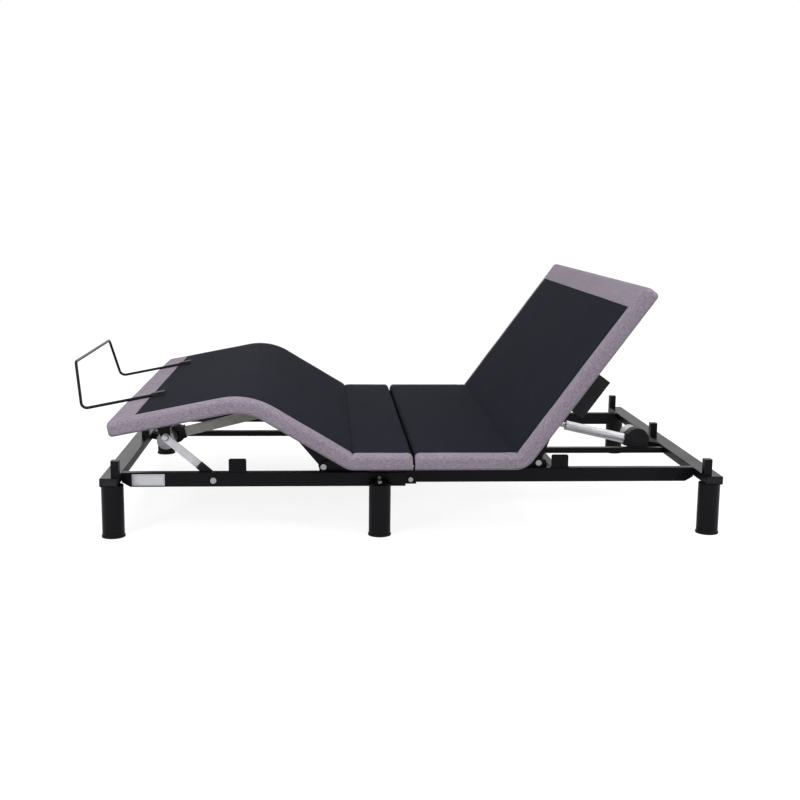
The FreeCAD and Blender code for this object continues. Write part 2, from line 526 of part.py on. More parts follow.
def make_actuator(end, direction, tube_length, square):
    """Drawn along X from its rear pivot: gearbox, motor, outer tube, screw and the sliding rod."""
    frame = f"{end}_actuator"
    axis_y = f"{direction} * actuator_y"
    near = f"{axis_y} - housing_width / 2"

    def along(low, high):
        if direction > 0:
            return (low, high)
        return (f"-({high})", f"-({low})")

    def rod_like(name, low, high, radius):
        start, stop = along(low, high)
        return cylinder(name, "x", (start, axis_y, "0"), radius, f"({stop}) - ({start})")

    boss = f"{end}_gear_x"
    housing_end = f"{end}_housing_end"
    gearbox = cylinder(f"{end}_gearbox", "y", (f"{direction} * {boss}", near, f"{end}_gear_rise"),
                       f"{end}_gear_radius", "housing_width")
    case = block(f"{end}_case", along(boss, housing_end),
                 (near, f"{axis_y} + housing_width / 2"), ("-housing_height / 2", "housing_height / 2"))
    neck = block(f"{end}_neck", along("0", boss),
                 (f"{axis_y} - eye_width / 2", f"{axis_y} + eye_width / 2"),
                 ("-eye_radius + eye_step", "eye_radius - eye_step"))
    eye = cylinder(f"{end}_eye", "y", ("0", f"{axis_y} - eye_width / 2", "0"), "eye_radius", "eye_width")
    pin_hole = cylinder(f"{end}_eye_hole", "y", ("0", f"{axis_y} - eye_width", "0"),
                        "base_pin_radius + running_gap", "2 * eye_width")
    solid = fuse(f"{end}_housing_solid", [gearbox, case, neck, eye])
    screw_hole = rod_like(f"{end}_screw_hole", f"{housing_end} - screw_seat", f"{housing_end} + overcut",
                          "screw_radius")
    bored = cut(f"{end}_housing_bored", cut(f"{end}_housing_pinned", solid, pin_hole), screw_hole)
    subpart(f"{end}_actuator_housing", [bored], frame)

    motor_start = f"{near} - motor_length" if direction > 0 else f"{axis_y} + housing_width / 2"
    motor = cylinder(f"{end}_motor_can", "y",
                     (f"{direction} * {end}_motor_x", motor_start, f"{end}_gear_rise"),
                     "motor_radius", "motor_length")
    subpart(f"{end}_motor", [motor], frame)

    tube_span = (housing_end, f"{housing_end} + {tube_length}")
    tube_radius = f"{end}_tube_radius"
    if square:
        outside = block(f"{end}_tube_outside", along(*tube_span),
                        (f"{axis_y} - {tube_radius}", f"{axis_y} + {tube_radius}"), (f"-{tube_radius}",
                                                                                     tube_radius))
    else:
        outside = rod_like(f"{end}_tube_outside", *tube_span, tube_radius)
    inside = rod_like(f"{end}_tube_inside", f"{tube_span[0]} - overcut", f"{tube_span[1]} + overcut",
                      "rod_radius + rod_bore_gap")
    subpart(f"{end}_outer_tube", [cut(f"{end}_tube_cut", outside, inside)], frame)

    screw = rod_like(f"{end}_screw", f"{housing_end} - screw_seat", f"{tube_span[1]} - screw_stop",
                     "screw_radius")
    subpart(f"{end}_lead_screw", [screw], frame)

    span = f"{end}_span"
    shaft = rod_like(f"{end}_rod_shaft", "rod_start", f"{span} - fork_depth", "rod_radius")
    bore = rod_like(f"{end}_rod_bore", "rod_start - overcut", f"{span} - fork_depth - screw_stop",
                    "screw_radius + rod_bore_gap")
    half = "(arm_plate / 2 + fork_gap)"
    ears = block(f"{end}_fork_block", along(f"{span} - fork_depth", f"{span} + fork_radius"),
                 (f"{axis_y} - {half} - fork_plate", f"{axis_y} + {half} + fork_plate"),
                 ("-fork_radius", "fork_radius"))
    slot = block(f"{end}_fork_slot",
                 along(f"{span} - fork_depth + fork_web", f"{span} + fork_radius + overcut"),
                 (f"{axis_y} - {half}", f"{axis_y} + {half}"), ("-fork_radius - overcut",
                                                                "fork_radius + overcut"))
    start = (f"{direction} * {span}", f"{axis_y} - {half} - fork_plate - pin_end", "0")
    width = f"2 * ({half} + fork_plate + pin_end)"
    pin = cylinder(f"{end}_rod_pin", "y", start, "rod_pin_radius", width)
    hole = cylinder(f"{end}_rod_pin_hole", "y", start, "rod_pin_radius", width)
    fork = cut(f"{end}_fork_drilled", cut(f"{end}_fork_slotted", ears, slot), hole)
    rod = fuse(f"{end}_rod_whole", [cut(f"{end}_rod_tube", shaft, bore), fork])
    subpart(f"{end}_rod", [rod, pin], frame)


def make_actuator_brackets():
    ears = []
    for end, direction, face in (("foot", 1, "foot_inner_face"), ("head", -1, "head_inner_face")):
        base = f"{end}_base_x"
        height = f"{end}_base_z"
        tip = f"{base} + {direction} * ear_reach"
        points = [(face, "crossbar_base + ear_step"), (tip, f"{height} - ear_reach"),
                  (tip, f"{height} + ear_reach"), (face, "rail_top - ear_step")]
        if direction < 0:
            points.reverse()
        hole = (base, height, "base_pin_radius")
        for side in (-1, 1):
            offset = "eye_width / 2 + ear_gap + bracket_plate / 2"
            ears.append(plate(f"{end}_ear_{'near' if side < 0 else 'far'}", points, "bracket_plate", [hole],
                              y=f"{direction} * actuator_y + {side} * ({offset})"))
        reach = "eye_width / 2 + bracket_plate + ear_pin_end"
        ears.append(cylinder(f"{end}_base_pin", "y",
                             (base, f"{direction} * actuator_y - ({reach})", height),
                             "base_pin_radius", f"2 * ({reach})"))
    subpart("actuator_brackets", ears)


def make_links():
    links = []
    brackets = []
    rail_bolts = []
    half = "link_width / 2"
    inside = "link_inner_face - link_face_gap"
    for side_name, side in SIDES:
        points = [(half, f"-{half} + link_corner"), (half, f"{half} - link_corner"),
                  (f"{half} - link_corner", half),
                  (f"-link_length - {half} + link_corner", half), (f"-link_length - {half}",
                                                                   f"{half} - link_corner"),
                  (f"-link_length - {half}",
                   f"-{half} + link_corner"), (f"-link_length - {half} + link_corner", f"-{half}"),
                  (f"{half} - link_corner", f"-{half}")]
        holes = [("0", "0", "link_bolt_radius + running_gap"),
                 ("-link_length", "0", "link_bolt_radius + link_hole_gap")]
        links.append(plate(f"link_{side_name}", points, "link_plate", holes, y=f"{side} * link_y"))
        top = "board_bottom - knee_hinge_height"
        reach = "link_bracket_width / 2"
        points = [(f"-link_pin_back - {reach} - link_web_flare", top),
                  (f"-link_pin_back - {reach} + link_corner", "-link_pin_drop - link_web_shoulder"),
                  (f"-link_pin_back - link_corner",
                   "-link_pin_drop - link_web_toe"), (f"-link_pin_back + link_corner",
                                                      "-link_pin_drop - link_web_toe"),
                  (f"-link_pin_back + {reach} - link_corner",
                   "-link_pin_drop - link_web_shoulder"), (f"-link_pin_back + {reach} + link_web_flare",
                                                           top)]
        web = plate(f"link_bracket_{side_name}", points, "bracket_plate",
                    [("-link_pin_back", "-link_pin_drop", "link_bolt_radius")],
                    y=f"{side} * (link_inner_face - link_side_gap - bracket_plate / 2)")
        brackets.append(web)
        shank_y = mirrored_y("link_inner_face - link_side_gap - bracket_plate",
                             "foot_rail_inner - link_gap + link_face_gap", side)
        brackets.append(bolt(f"link_top_bolt_{side_name}", ("-link_pin_back", "-link_pin_drop"), shank_y,
                             side,
                             "link_bolt_radius", "link_bolt_radius + link_hole_gap + link_head_rim"))
        shank_y = mirrored_y(inside, "foot_rail_inner", side)
        rail_bolts.append(bolt(f"link_rail_bolt_{side_name}", ("link_rail_x", "link_rail_z"), shank_y,
                               -side,
                               "link_bolt_radius", "link_bolt_radius + bolt_rim"))
        head_y = mirrored_y("foot_rail_outer", "foot_rail_outer + bolt_head", side)
        rail_bolts.append(cylinder(f"link_bolt_end_{side_name}", "y",
                                   ("link_rail_x", head_y[0], "link_rail_z"),
                                   "link_bolt_radius + spacer_rim", "bolt_head"))
        ring_y = mirrored_y("foot_rail_inner - link_gap + spacer_gap", "foot_rail_inner", side)
        ring = cylinder(f"link_spacer_{side_name}", "y", ("link_rail_x", ring_y[0], "link_rail_z"),
                        "link_bolt_radius + spacer_rim", f"({ring_y[1]}) - ({ring_y[0]})")
        hole = cylinder(f"link_spacer_hole_{side_name}", "y", ("link_rail_x", ring_y[0], "link_rail_z"),
                        "link_bolt_radius", f"({ring_y[1]}) - ({ring_y[0]})")
        rail_bolts.append(cut(f"link_spacer_ring_{side_name}", ring, hole))
    subpart("leg_links", links, "link")
    subpart("link_brackets", brackets, "leg")
    return rail_bolts


def bolt(name, spot, shank_y, side, radius, head_radius):
    """A headed bolt along Y whose head is on the outside."""
    x, z = spot
    low, high = shank_y
    shank = cylinder(name + "_shank", "y", (x, low, z), radius, f"({high}) - ({low})")
    head_start = high if side > 0 else f"({low}) - bolt_head"
    head = cylinder(name + "_head", "y", (x, head_start, z), head_radius, "bolt_head")
    return fuse(name, [shank, head])


def hinge_rows():
    for number, row_name in enumerate(("near", "middle", "far"), start=-1):
        yield row_name, f"{number} * hinge_spacing"


def hinge_leaves(name, side, plate_z, moving, pin):
    """Leaves on one side (-1 or 1) of a crease at the local origin, with or without the pins."""
    pieces = []
    plate_low, plate_high = plate_z
    web_low = plate_low if float(size(plate_low)) < 0 else "0"
    web_high = "0" if float(size(plate_low)) < 0 else plate_high

    def across(low, high):
        if side > 0:
            return (low, high)
        return (f"-({high})", f"-({low})")

    for row_name, middle in hinge_rows():
        tag = f"{name}_{row_name}"
        if moving:
            spans = [(f"{middle} - knuckle_half", f"{middle} + knuckle_half")]
        else:
            spans = [(f"{middle} - leaf_half", f"{middle} - knuckle_half - leaf_gap"),
                     (f"{middle} + knuckle_half + leaf_gap", f"{middle} + leaf_half")]
        solids = [block(tag + "_plate", across("leaf_start", "leaf_length"),
                        (f"{middle} - leaf_half", f"{middle} + leaf_half"), plate_z)]
        for number, span in enumerate(spans):
            solids.append(block(f"{tag}_web{number}", across("leaf_gap", "leaf_start + leaf_lap"), span,
                                (web_low, web_high)))
            solids.append(cylinder(f"{tag}_knuckle{number}", "y", ("0", span[0], "0"), "knuckle_radius",
                                   f"({span[1]}) - ({span[0]})"))
        gap = " + running_gap" if moving else ""
        bore = cylinder(f"{tag}_bore", "y", ("0", f"{middle} - leaf_half - overcut", "0"),
                        "hinge_pin_radius" + gap,
                        "2 * leaf_half + 2 * overcut")
        pieces.append(cut(f"{tag}_leaf", fuse(f"{tag}_solid", solids), bore))
        if pin:
            pieces.append(cylinder(f"{tag}_pin", "y", ("0", f"{middle} - leaf_half", "0"),
                                   "hinge_pin_radius",
                                   "2 * leaf_half"))
    return pieces


TOP_PLATE = ("board_top - hinge_height", "board_top - hinge_height + leaf_plate")
UNDER_PLATE = ("board_bottom - knee_hinge_height - leaf_plate", "board_bottom - knee_hinge_height")


def hinge_pockets(name, crease, level, pivot):
    """Boxes cut from the padding where a row of hinges sits above the boards."""
    pockets = []
    for row_name, middle in hinge_rows():
        pockets.append(block(f"{name}_pocket_{row_name}",
                             (f"({crease}) - leaf_length - overcut", f"({crease}) + leaf_length + overcut"),
                             (f"{middle} - leaf_half - overcut", f"{middle} + leaf_half + overcut"),
                             (f"board_top - {level} - overcut", f"{pivot} + knuckle_radius + pocket_gap")))
    return fuse(name + "_pockets", pockets)


def make_section(name, frame, span, level, free=None, slats=True, pocket_at=()):
    """Board, side slats and padded cover of one deck section, drawn flat about its pivot."""
    low, high = span
    low_in = f"({low}) + end_gap"
    high_in = f"({high}) - end_gap"
    board_low = f"({low}) + cover" if free == "low" else low_in
    board_high = f"({high}) - cover" if free == "high" else high_in
    if free == "low":
        low_in = low
    if free == "high":
        high_in = high

    def heights(bottom, top):
        return (f"{bottom} - {level}", f"{top} - {level}")

    boards = [block(name + "_board_sheet", (board_low, board_high), ("-inner_half", "inner_half"),
                    heights("board_bottom", "board_top"))]
    rails = []
    if slats:
        for side_name, side in SIDES:
            rails.append(block(f"{name}_slat_{side_name}", (board_low, board_high),
                               mirrored_y("inner_half - slat_width", "inner_half", side),
                               heights("deck_bottom", "board_bottom")))
        if free:
            ends = ((f"{board_low} + slat_inset", f"{board_low} + slat_inset + slat_width") if free == "low"
                    else (f"{board_high} - slat_inset - slat_width", f"{board_high} - slat_inset"))
            rails.append(block(f"{name}_slat_end", ends,
                               ("-inner_half + slat_width", "inner_half - slat_width"),
                               heights("deck_bottom", "board_bottom")))
    outer = block(name + "_pad_outside", (low_in, high_in), ("-half_width", "half_width"),
                  heights("deck_bottom", "deck_top"))
    inner_low = board_low if free == "low" else f"{low_in} - overcut"
    inner_high = board_high if free == "high" else f"{high_in} + overcut"
    inner = block(name + "_pad_inside", (inner_low, inner_high), ("-inner_half", "inner_half"),
                  heights("deck_bottom - overcut", "board_top"))
    pad = cut(name + "_pad_shell", outer, inner)
    for number, (crease, pivot) in enumerate(pocket_at):
        pad = cut(f"{name}_pad_pocket{number}", pad, hinge_pockets(f"{name}{number}", crease, level, pivot))
    subpart(name + "_pad", [pad], frame)
    return boards, rails


def make_deck():
    foot_boards, foot_rails = make_section("seat_foot", "root", ("thigh_crease", "split"), "0",
                                           pocket_at=[("thigh_crease", "hinge_height")])
    head_boards, head_rails = make_section("seat_head", "root", ("split", "head_crease"), "0",
                                           pocket_at=[("head_crease", "hinge_height")])
    subpart("seat_boards", foot_boards + head_boards)
    subpart("seat_slats", foot_rails + head_rails)
    layout = (("head", ("0", "head_length"), "hinge_height", "high", True, [("0", "0")]),
              ("thigh", ("-thigh_length", "0"), "hinge_height", None, True, [("0", "0")]),
              ("knee", ("-knee_length", "0"), "knee_hinge_height", None, False, []),
              ("leg", ("-leg_section_length", "0"), "knee_hinge_height", "low", True, []))
    for name, span, level, free, slats, pockets in layout:
        boards, rails = make_section(name, name, span, level, free, slats, pockets)
        subpart(name + "_board", boards, name)
        if rails:
            subpart(name + "_slats", rails, name)
    fixed = [
        place(group("seat_thigh_leaves", hinge_leaves("seat_thigh", 1, TOP_PLATE, False, True)), "thigh"),
        place(group("seat_head_leaves", hinge_leaves("seat_head_row", -1, TOP_PLATE, False, True)), "head")]
    for item in fixed:
        item.setExpression("Placement.Rotation.Angle", "0")
    leaves = group("seat_hinge_leaves", fixed)
    leaves.Label = "seat_hinge_leaves"
    SUBPARTS.append(leaves)
    subpart("head_hinge_leaves", hinge_leaves("head_row", 1, TOP_PLATE, True, False), "head")
    knee_half = group("thigh_knee_leaves", hinge_leaves("thigh_knee", 1, UNDER_PLATE, False, True))
    bind(knee_half, "Placement.Base.x", "-thigh_length")
    bind(knee_half, "Placement.Base.z", "knee_hinge_height - hinge_height")
    subpart("thigh_hinge_leaves", hinge_leaves("thigh_row", -1, TOP_PLATE, True, False) + [knee_half],
            "thigh")
    ankle_half = group("knee_ankle_leaves", hinge_leaves("knee_ankle", 1, UNDER_PLATE, False, True))
    bind(ankle_half, "Placement.Base.x", "-knee_length")
    subpart("knee_hinge_leaves", hinge_leaves("knee_row", -1, UNDER_PLATE, True, False) + [ankle_half],
            "knee")
    subpart("leg_hinge_leaves", hinge_leaves("leg_row", -1, UNDER_PLATE, True, False), "leg")


def make_control_box():
    """Two-part electronics box with its mains inlet, screwed under the head board."""
    top = "board_bottom - hinge_height"
    x = ("box_along", "box_along + box_length")
    y = ("box_y - box_width / 2", "box_y + box_width / 2")
    outer = block("box_outside", x, y, (f"{top} - box_height", f"{top} - 2 * box_wall"))
    inner = block("box_inside", (f"{x[0]} + box_wall", f"{x[1]} - box_wall"),
                  (f"{y[0]} + box_wall", f"{y[1]} - box_wall"),
                  (f"{top} - box_height + box_wall", top))
    socket_z = (f"{top} - box_height + inlet_low", f"{top} - box_height + inlet_high")
    socket_y = ("box_y - inlet_half", "box_y + inlet_half")
    opening = block("inlet_opening", (f"{x[0]} - overcut", f"{x[0]} + box_wall + overcut"), socket_y,
                    socket_z)
    subpart("control_box_shell", [cut("box_shell", cut("box_tray", outer, inner), opening)], "head")
    subpart("control_box_lid", [block("box_lid", x, y, (f"{top} - 2 * box_wall", top))], "head")
    body = block("inlet_body", (f"{x[0]} - inlet_lip", f"{x[0]} + inlet_depth"), socket_y, socket_z)
    recess = block("inlet_recess", (f"{x[0]} - inlet_lip - overcut", f"{x[0]} + recess_depth"),
                   ("box_y - inlet_half + inlet_wall", "box_y + inlet_half - inlet_wall"),
                   (f"{top} - box_height + inlet_low + inlet_wall",
                    f"{top} - box_height + inlet_high - inlet_wall"))
    subpart("power_inlet", [cut("inlet_socket", body, recess)], "head")


def rounded_wire(corners, bend):
    """Straight runs through the corner points, joined by tangent arcs of one radius."""
    edges = []
    start = corners[0]
    for before, corner, after in zip(corners, corners[1:], corners[2:]):
        back = (before - corner).normalize()
        ahead = (after - corner).normalize()
        half_turn = back.getAngle(ahead) / 2
        setback = bend / math.tan(half_turn)
        first = corner + back * setback
        last = corner + ahead * setback
        inward = (back + ahead).normalize()
        middle = corner + inward * (bend / math.sin(half_turn) - bend)
        edges.append(Part.LineSegment(start, first).toShape())
        edges.append(Part.Arc(first, middle, last).toShape())
        start = last
    edges.append(Part.LineSegment(start, corners[-1]).toShape())
    return Part.Wire(edges)


def make_retainer():
    """U-shaped rod that keeps the mattress from sliding off the foot end, held in two clips."""
    level = size("deck_top - knee_hinge_height + bar_lift + rod_bar_radius")
    inner = -size("bar_inner")
    reach = -size("bar_reach")
    half = size("bar_half")
    corners = [Vector(inner, -half, level), Vector(reach, -half, level),
               Vector(reach, -size("bar_top_half"), level + size("bar_height")),
               Vector(reach, size("bar_top_half"), level + size("bar_height")), Vector(reach, half, level),
               Vector(inner, half, level)]
    wire = rounded_wire(corners, size("bar_bend"))
    profile = Part.Wire([Part.makeCircle(size("rod_bar_radius"), corners[0], Vector(1, 0, 0))])
    bar = document.addObject("Part::Feature", "retainer_rod")
    bar.Shape = wire.makePipeShell([profile], True, False)
    subpart("retainer_bar", [bar], "leg")
    clips = []
    top = "deck_top - knee_hinge_height"
    for side_name, side in SIDES:
        middle = f"{side} * bar_half"
        name = f"clip_{side_name}"
        body = block(name, ("-bar_inner - clip_length", "-bar_inner + clip_nose"),
                     (f"{middle} - clip_width / 2", f"{middle} + clip_width / 2"),
                     (top, f"{top} + clip_height + clip_crown"))
        hole = cylinder(name + "_hole", "x",
                        ("-bar_inner - clip_length - overcut", middle, f"{top} + bar_lift + rod_bar_radius"),
                        "rod_bar_radius + running_gap", "clip_length + bar_seat")
        clips.append(cut(name + "_bored", body, hole))
    subpart("retainer_clips", clips, "leg")


def make_label():
    middle = "(rail_top + rail_base) / 2"
    subpart("blank_label", [block("label_plate", ("label_start", "label_end"),
                                  ("-foot_rail_outer - label_sheet", "-foot_rail_outer"),
                                  (f"{middle} - label_height / 2", f"{middle} + label_height / 2"))])


def export():
    document.recompute()
    for item in document.Objects:
        if "Invalid" in item.State or "Error" in item.State:
            raise RuntimeError(f"{item.Label} failed: {item.State}")
    os.makedirs("parts", exist_ok=True)
    for item in SUBPARTS:
        shape = item.Shape
        if shape.isNull() or not shape.isValid() or not shape.Solids:
            raise RuntimeError(f"{item.Label} has no valid solid")
        shape.exportStep(f"parts/{item.Label}.step")
    whole = Part.makeCompound([item.Shape for item in SUBPARTS]).BoundBox
    print(f"{len(SUBPARTS)} sub-parts, X {whole.XMin:.2f} to {whole.XMax:.2f}, "
          f"Y {whole.YMin:.2f} to {whole.YMax:.2f}, Z {whole.ZMin:.2f} to {whole.ZMax:.2f}")


make_rails()
make_crossbars()
frame_bolts = make_splices() + make_legs()
make_posts()
make_pivot_brackets()
make_lift_frame("foot", -1)
make_lift_frame("head", 1)
make_actuator("foot", 1, "foot_tube_length", True)
make_actuator("head", -1, "head_tube_length", False)
make_actuator_brackets()
frame_bolts += make_links()
subpart("frame_bolts", frame_bolts)
make_deck()
make_control_box()
make_retainer()
make_label()
export()
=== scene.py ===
"""Looks of an adjustable bed base: upholstered folding deck, steel frame, lifting gear and a pale studio."""
import json
import logging
import math
from collections.abc import Sequence
from dataclasses import dataclass, field
from enum import Enum

import bmesh
import bpy
from mathutils import Matrix, Vector, noise


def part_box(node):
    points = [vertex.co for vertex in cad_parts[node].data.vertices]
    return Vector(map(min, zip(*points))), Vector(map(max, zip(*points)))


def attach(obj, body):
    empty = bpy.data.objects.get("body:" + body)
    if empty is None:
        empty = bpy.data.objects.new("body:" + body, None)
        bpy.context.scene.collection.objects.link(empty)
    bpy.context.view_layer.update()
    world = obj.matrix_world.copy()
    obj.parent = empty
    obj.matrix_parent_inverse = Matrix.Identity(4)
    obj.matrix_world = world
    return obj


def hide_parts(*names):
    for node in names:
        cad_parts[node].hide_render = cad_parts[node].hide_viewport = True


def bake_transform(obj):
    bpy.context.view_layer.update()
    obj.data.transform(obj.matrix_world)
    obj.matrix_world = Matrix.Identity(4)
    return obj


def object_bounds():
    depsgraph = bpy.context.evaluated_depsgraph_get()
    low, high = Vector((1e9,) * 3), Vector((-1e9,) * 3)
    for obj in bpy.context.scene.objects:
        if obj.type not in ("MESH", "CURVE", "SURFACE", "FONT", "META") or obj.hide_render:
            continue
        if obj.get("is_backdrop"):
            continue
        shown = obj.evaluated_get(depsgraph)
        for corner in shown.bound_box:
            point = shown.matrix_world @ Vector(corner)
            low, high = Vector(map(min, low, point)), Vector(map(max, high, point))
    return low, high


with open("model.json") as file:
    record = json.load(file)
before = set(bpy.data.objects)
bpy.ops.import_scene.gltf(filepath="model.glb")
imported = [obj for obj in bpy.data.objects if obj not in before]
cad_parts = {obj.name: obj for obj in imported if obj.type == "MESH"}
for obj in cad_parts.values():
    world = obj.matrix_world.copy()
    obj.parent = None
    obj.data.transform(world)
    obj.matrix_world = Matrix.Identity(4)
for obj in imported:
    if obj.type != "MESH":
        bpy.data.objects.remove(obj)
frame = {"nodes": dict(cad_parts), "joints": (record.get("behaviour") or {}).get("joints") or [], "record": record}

log = logging.getLogger("bed_base")

Colour = tuple[float, float, float]
EVEN = (1.0, 1.0, 1.0)
WHITE: Colour = (1.0, 1.0, 1.0)
BLACK: Colour = (0.0, 0.0, 0.0)
NEAR_ZERO = 1e-5
CUT_REACH = 1e-6


class Side(Enum):
    """Which way a half of the deck runs from the split in its middle."""

    FOOT = -1
    HEAD = 1


class Layout(Enum):
    """What a pattern follows on a piece."""

    CLOTH = "cloth"
    BODY = "body"


# ---------------------------------------------------------------- materials


class Graph:
    """A small hand for wiring one material's nodes."""

    def __init__(self, name: str) -> None:
        """Starts an empty material.

        Args:
            name: the material's name.
        """
        self.material = bpy.data.materials.new(name)
        self.material.use_nodes = True
        self.tree = self.material.node_tree
        self.shader = self.tree.nodes["Principled BSDF"]

    def node(self, kind: str, inputs: dict | None = None, **settings: object) -> bpy.types.Node:
        """Adds a node.

        Args:
            kind: the node's type, without its ShaderNode prefix.
            inputs: values or output sockets for its inputs, by name or number.
            settings: properties of the node.

        Returns:
            The new node.
        """
        made = self.tree.nodes.new("ShaderNode" + kind)
        for key, value in settings.items():
            setattr(made, key, value)
        for key, value in (inputs or {}).items():
            self.feed(made.inputs[key], value)
        return made

    def feed(self, socket: bpy.types.NodeSocket, value: object) -> None:
        """Links an output to a socket, or sets the socket's own value.

        Args:
            socket: the input to feed.
            value: an output socket, or a plain value.
        """
        if isinstance(value, bpy.types.NodeSocket):
            self.tree.links.new(value, socket)
        else:
            socket.default_value = value

    def drive(self, name: str, value: object) -> None:
        """Feeds the shader's input of the given name."""
        self.feed(self.shader.inputs[name], value)

    def math(self, operation: str, *values: object) -> bpy.types.NodeSocket:
        """Adds a Math node and returns its output."""
        return self.node("Math", dict(enumerate(values)), operation=operation).outputs[0]

    def where(self, layout: Layout, scale: Sequence[float]) -> bpy.types.NodeSocket:
        """Gives stretched pattern coordinates.

        Args:
            layout: cloth reads the piece's own map, body reads Object coordinates.
            scale: repeats per metre along each direction.

        Returns:
            The vector socket to feed to a texture.
        """
        if layout is Layout.CLOTH:
            source = self.node("UVMap", uv_map="cloth").outputs["UV"]
        else:
            source = self.node("TexCoord").outputs["Object"]
        return self.node("Mapping", {"Vector": source, "Scale": tuple(scale)}).outputs["Vector"]

    def noise(self, vector: bpy.types.NodeSocket, scale: float, detail: float = 3.0) -> bpy.types.NodeSocket:
        """Adds a Noise Texture and returns its factor."""
        made = self.node("TexNoise", {"Vector": vector, "Scale": scale, "Detail": detail})
        return made.outputs["Fac"]

    def ramp(self, factor: bpy.types.NodeSocket, *stops: tuple[float, Colour]) -> bpy.types.NodeSocket:
        """Adds a Color Ramp.

        Args:
            factor: what runs along the ramp.
            stops: each stop's place and colour.

        Returns:
            The ramp's colour.
        """
        made = self.node("ValToRGB", {"Fac": factor})
        elements = made.color_ramp.elements
        while len(elements) < len(stops):
            elements.new(0.5)
        for element, (place, colour) in zip(elements, stops):
            element.position = place
            element.color = (*colour, 1.0)
        return made.outputs["Color"]

    def mix(self, factor: object, first: object, second: object, blend: str = "MIX") -> bpy.types.NodeSocket:
        """Mixes two colours.

        Args:
            factor: how much of the second colour, a value or a socket.
            first: the first colour, a value or a socket.
            second: the second colour.
            blend: the node's blend type.

        Returns:
            The mixed colour.
        """
        made = self.node("Mix", data_type="RGBA", blend_type=blend)
        for socket, value in zip((made.inputs[0], made.inputs[6], made.inputs[7]), (factor, first, second)):
            self.feed(socket, value)
        return made.outputs[2]

    def relief(self, height: bpy.types.NodeSocket, depth: float, strength: float = 1.0) -> None:
        """Turns a height into the shader's normal."""
        bump = self.node("Bump", {"Height": height, "Distance": depth, "Strength": strength})
        self.drive("Normal", bump.outputs["Normal"])


def shade(colour: Colour, factor: float) -> Colour:
    """Returns a colour made lighter or darker."""
    return tuple(min(1.0, part * factor) for part in colour)


@dataclass(frozen=True)
class Finish:
    """A surface finish: its name, base colour and roughness."""

    name: str
    colour: Colour
    rough: float = 0.5

    def wire(self, graph: Graph) -> None:
        """Wires the finish's own pattern into a new material."""
        raise NotImplementedError

    def build(self) -> bpy.types.Material:
        """Returns the material, made once and then shared."""
        found = bpy.data.materials.get(self.name)
        if found:
            return found
        graph = Graph(self.name)
        graph.shader.inputs["Roughness"].default_value = self.rough
        self.wire(graph)
        return graph.material

    def dress(self, *pieces: bpy.types.Object) -> None:
        """Puts the finish on every slot of the pieces."""
        for piece in pieces:
            slots = piece.data.materials
            if not slots:
                slots.append(self.build())
            for number in range(len(slots)):
                slots[number] = self.build()


@dataclass(frozen=True)
class Cloth(Finish):
    """Plain-woven cloth of flecked yarn.

    Attributes:
        fleck: how far light and dark yarns stand from the base colour, 0 to 1.
        yarn: the yarn's pitch in metres.
        fuzz: sheen weight of the loose fibres.
        shine: specular level of the yarn.
        long: flecks per metre along a yarn.
        thin: flecks per metre across it.
        wave: the wave texture's scale for one band per metre.
        over: how high the weave stands where the weft lies over the warp.
        worn: the darkest shade of the slow change.
        height: the weave's height as a share of the yarn's pitch.
    """

    fleck: float = 0.3
    yarn: float = 0.0016
    fuzz: float = 0.2
    shine: float = 0.15
    long: float = 70.0
    thin: float = 420.0
    wave: float = 0.314
    over: float = 0.25
    worn: float = 0.92
    height: float = 0.35

    def wire(self, graph: Graph) -> None:
        """Weaves warp and weft with their own flecks, a slow shade change and a raised weave."""
        plain = graph.where(Layout.CLOTH, EVEN)
        long_warp = graph.noise(graph.where(Layout.CLOTH, (self.long, self.thin, 1.0)), 1.0, 2.0)
        long_weft = graph.noise(graph.where(Layout.CLOTH, (self.thin, self.long, 1.0)), 1.0, 2.0)
        bands = []
        for direction in ("X", "Y"):
            band = graph.node("TexWave", {"Vector": plain, "Scale": self.wave / self.yarn, "Distortion": 0.4},
                              bands_direction=direction)
            bands.append(band.outputs["Fac"])
        over = graph.math("GREATER_THAN", graph.math("MULTIPLY", bands[0], bands[1]), self.over)
        yarns = graph.mix(over, long_warp, long_weft)
        low, high = shade(self.colour, 1.0 - self.fleck), shade(self.colour, 1.0 + self.fleck)
        flecked = graph.ramp(yarns, (0.3, low), (0.5, self.colour), (0.72, high))
        slow = graph.ramp(graph.noise(plain, 5.0, 4.0), (0.3, (self.worn,) * 3), (0.7, WHITE))
        graph.drive("Base Color", graph.mix(1.0, flecked, slow, "MULTIPLY"))
        graph.shader.inputs["Sheen Weight"].default_value = self.fuzz
        graph.shader.inputs["Sheen Roughness"].default_value = 0.6
        graph.shader.inputs["Specular IOR Level"].default_value = self.shine
        height = graph.math("ADD", graph.math("MAXIMUM", bands[0], bands[1]), long_warp)
        graph.relief(height, self.yarn * self.height, 0.6)


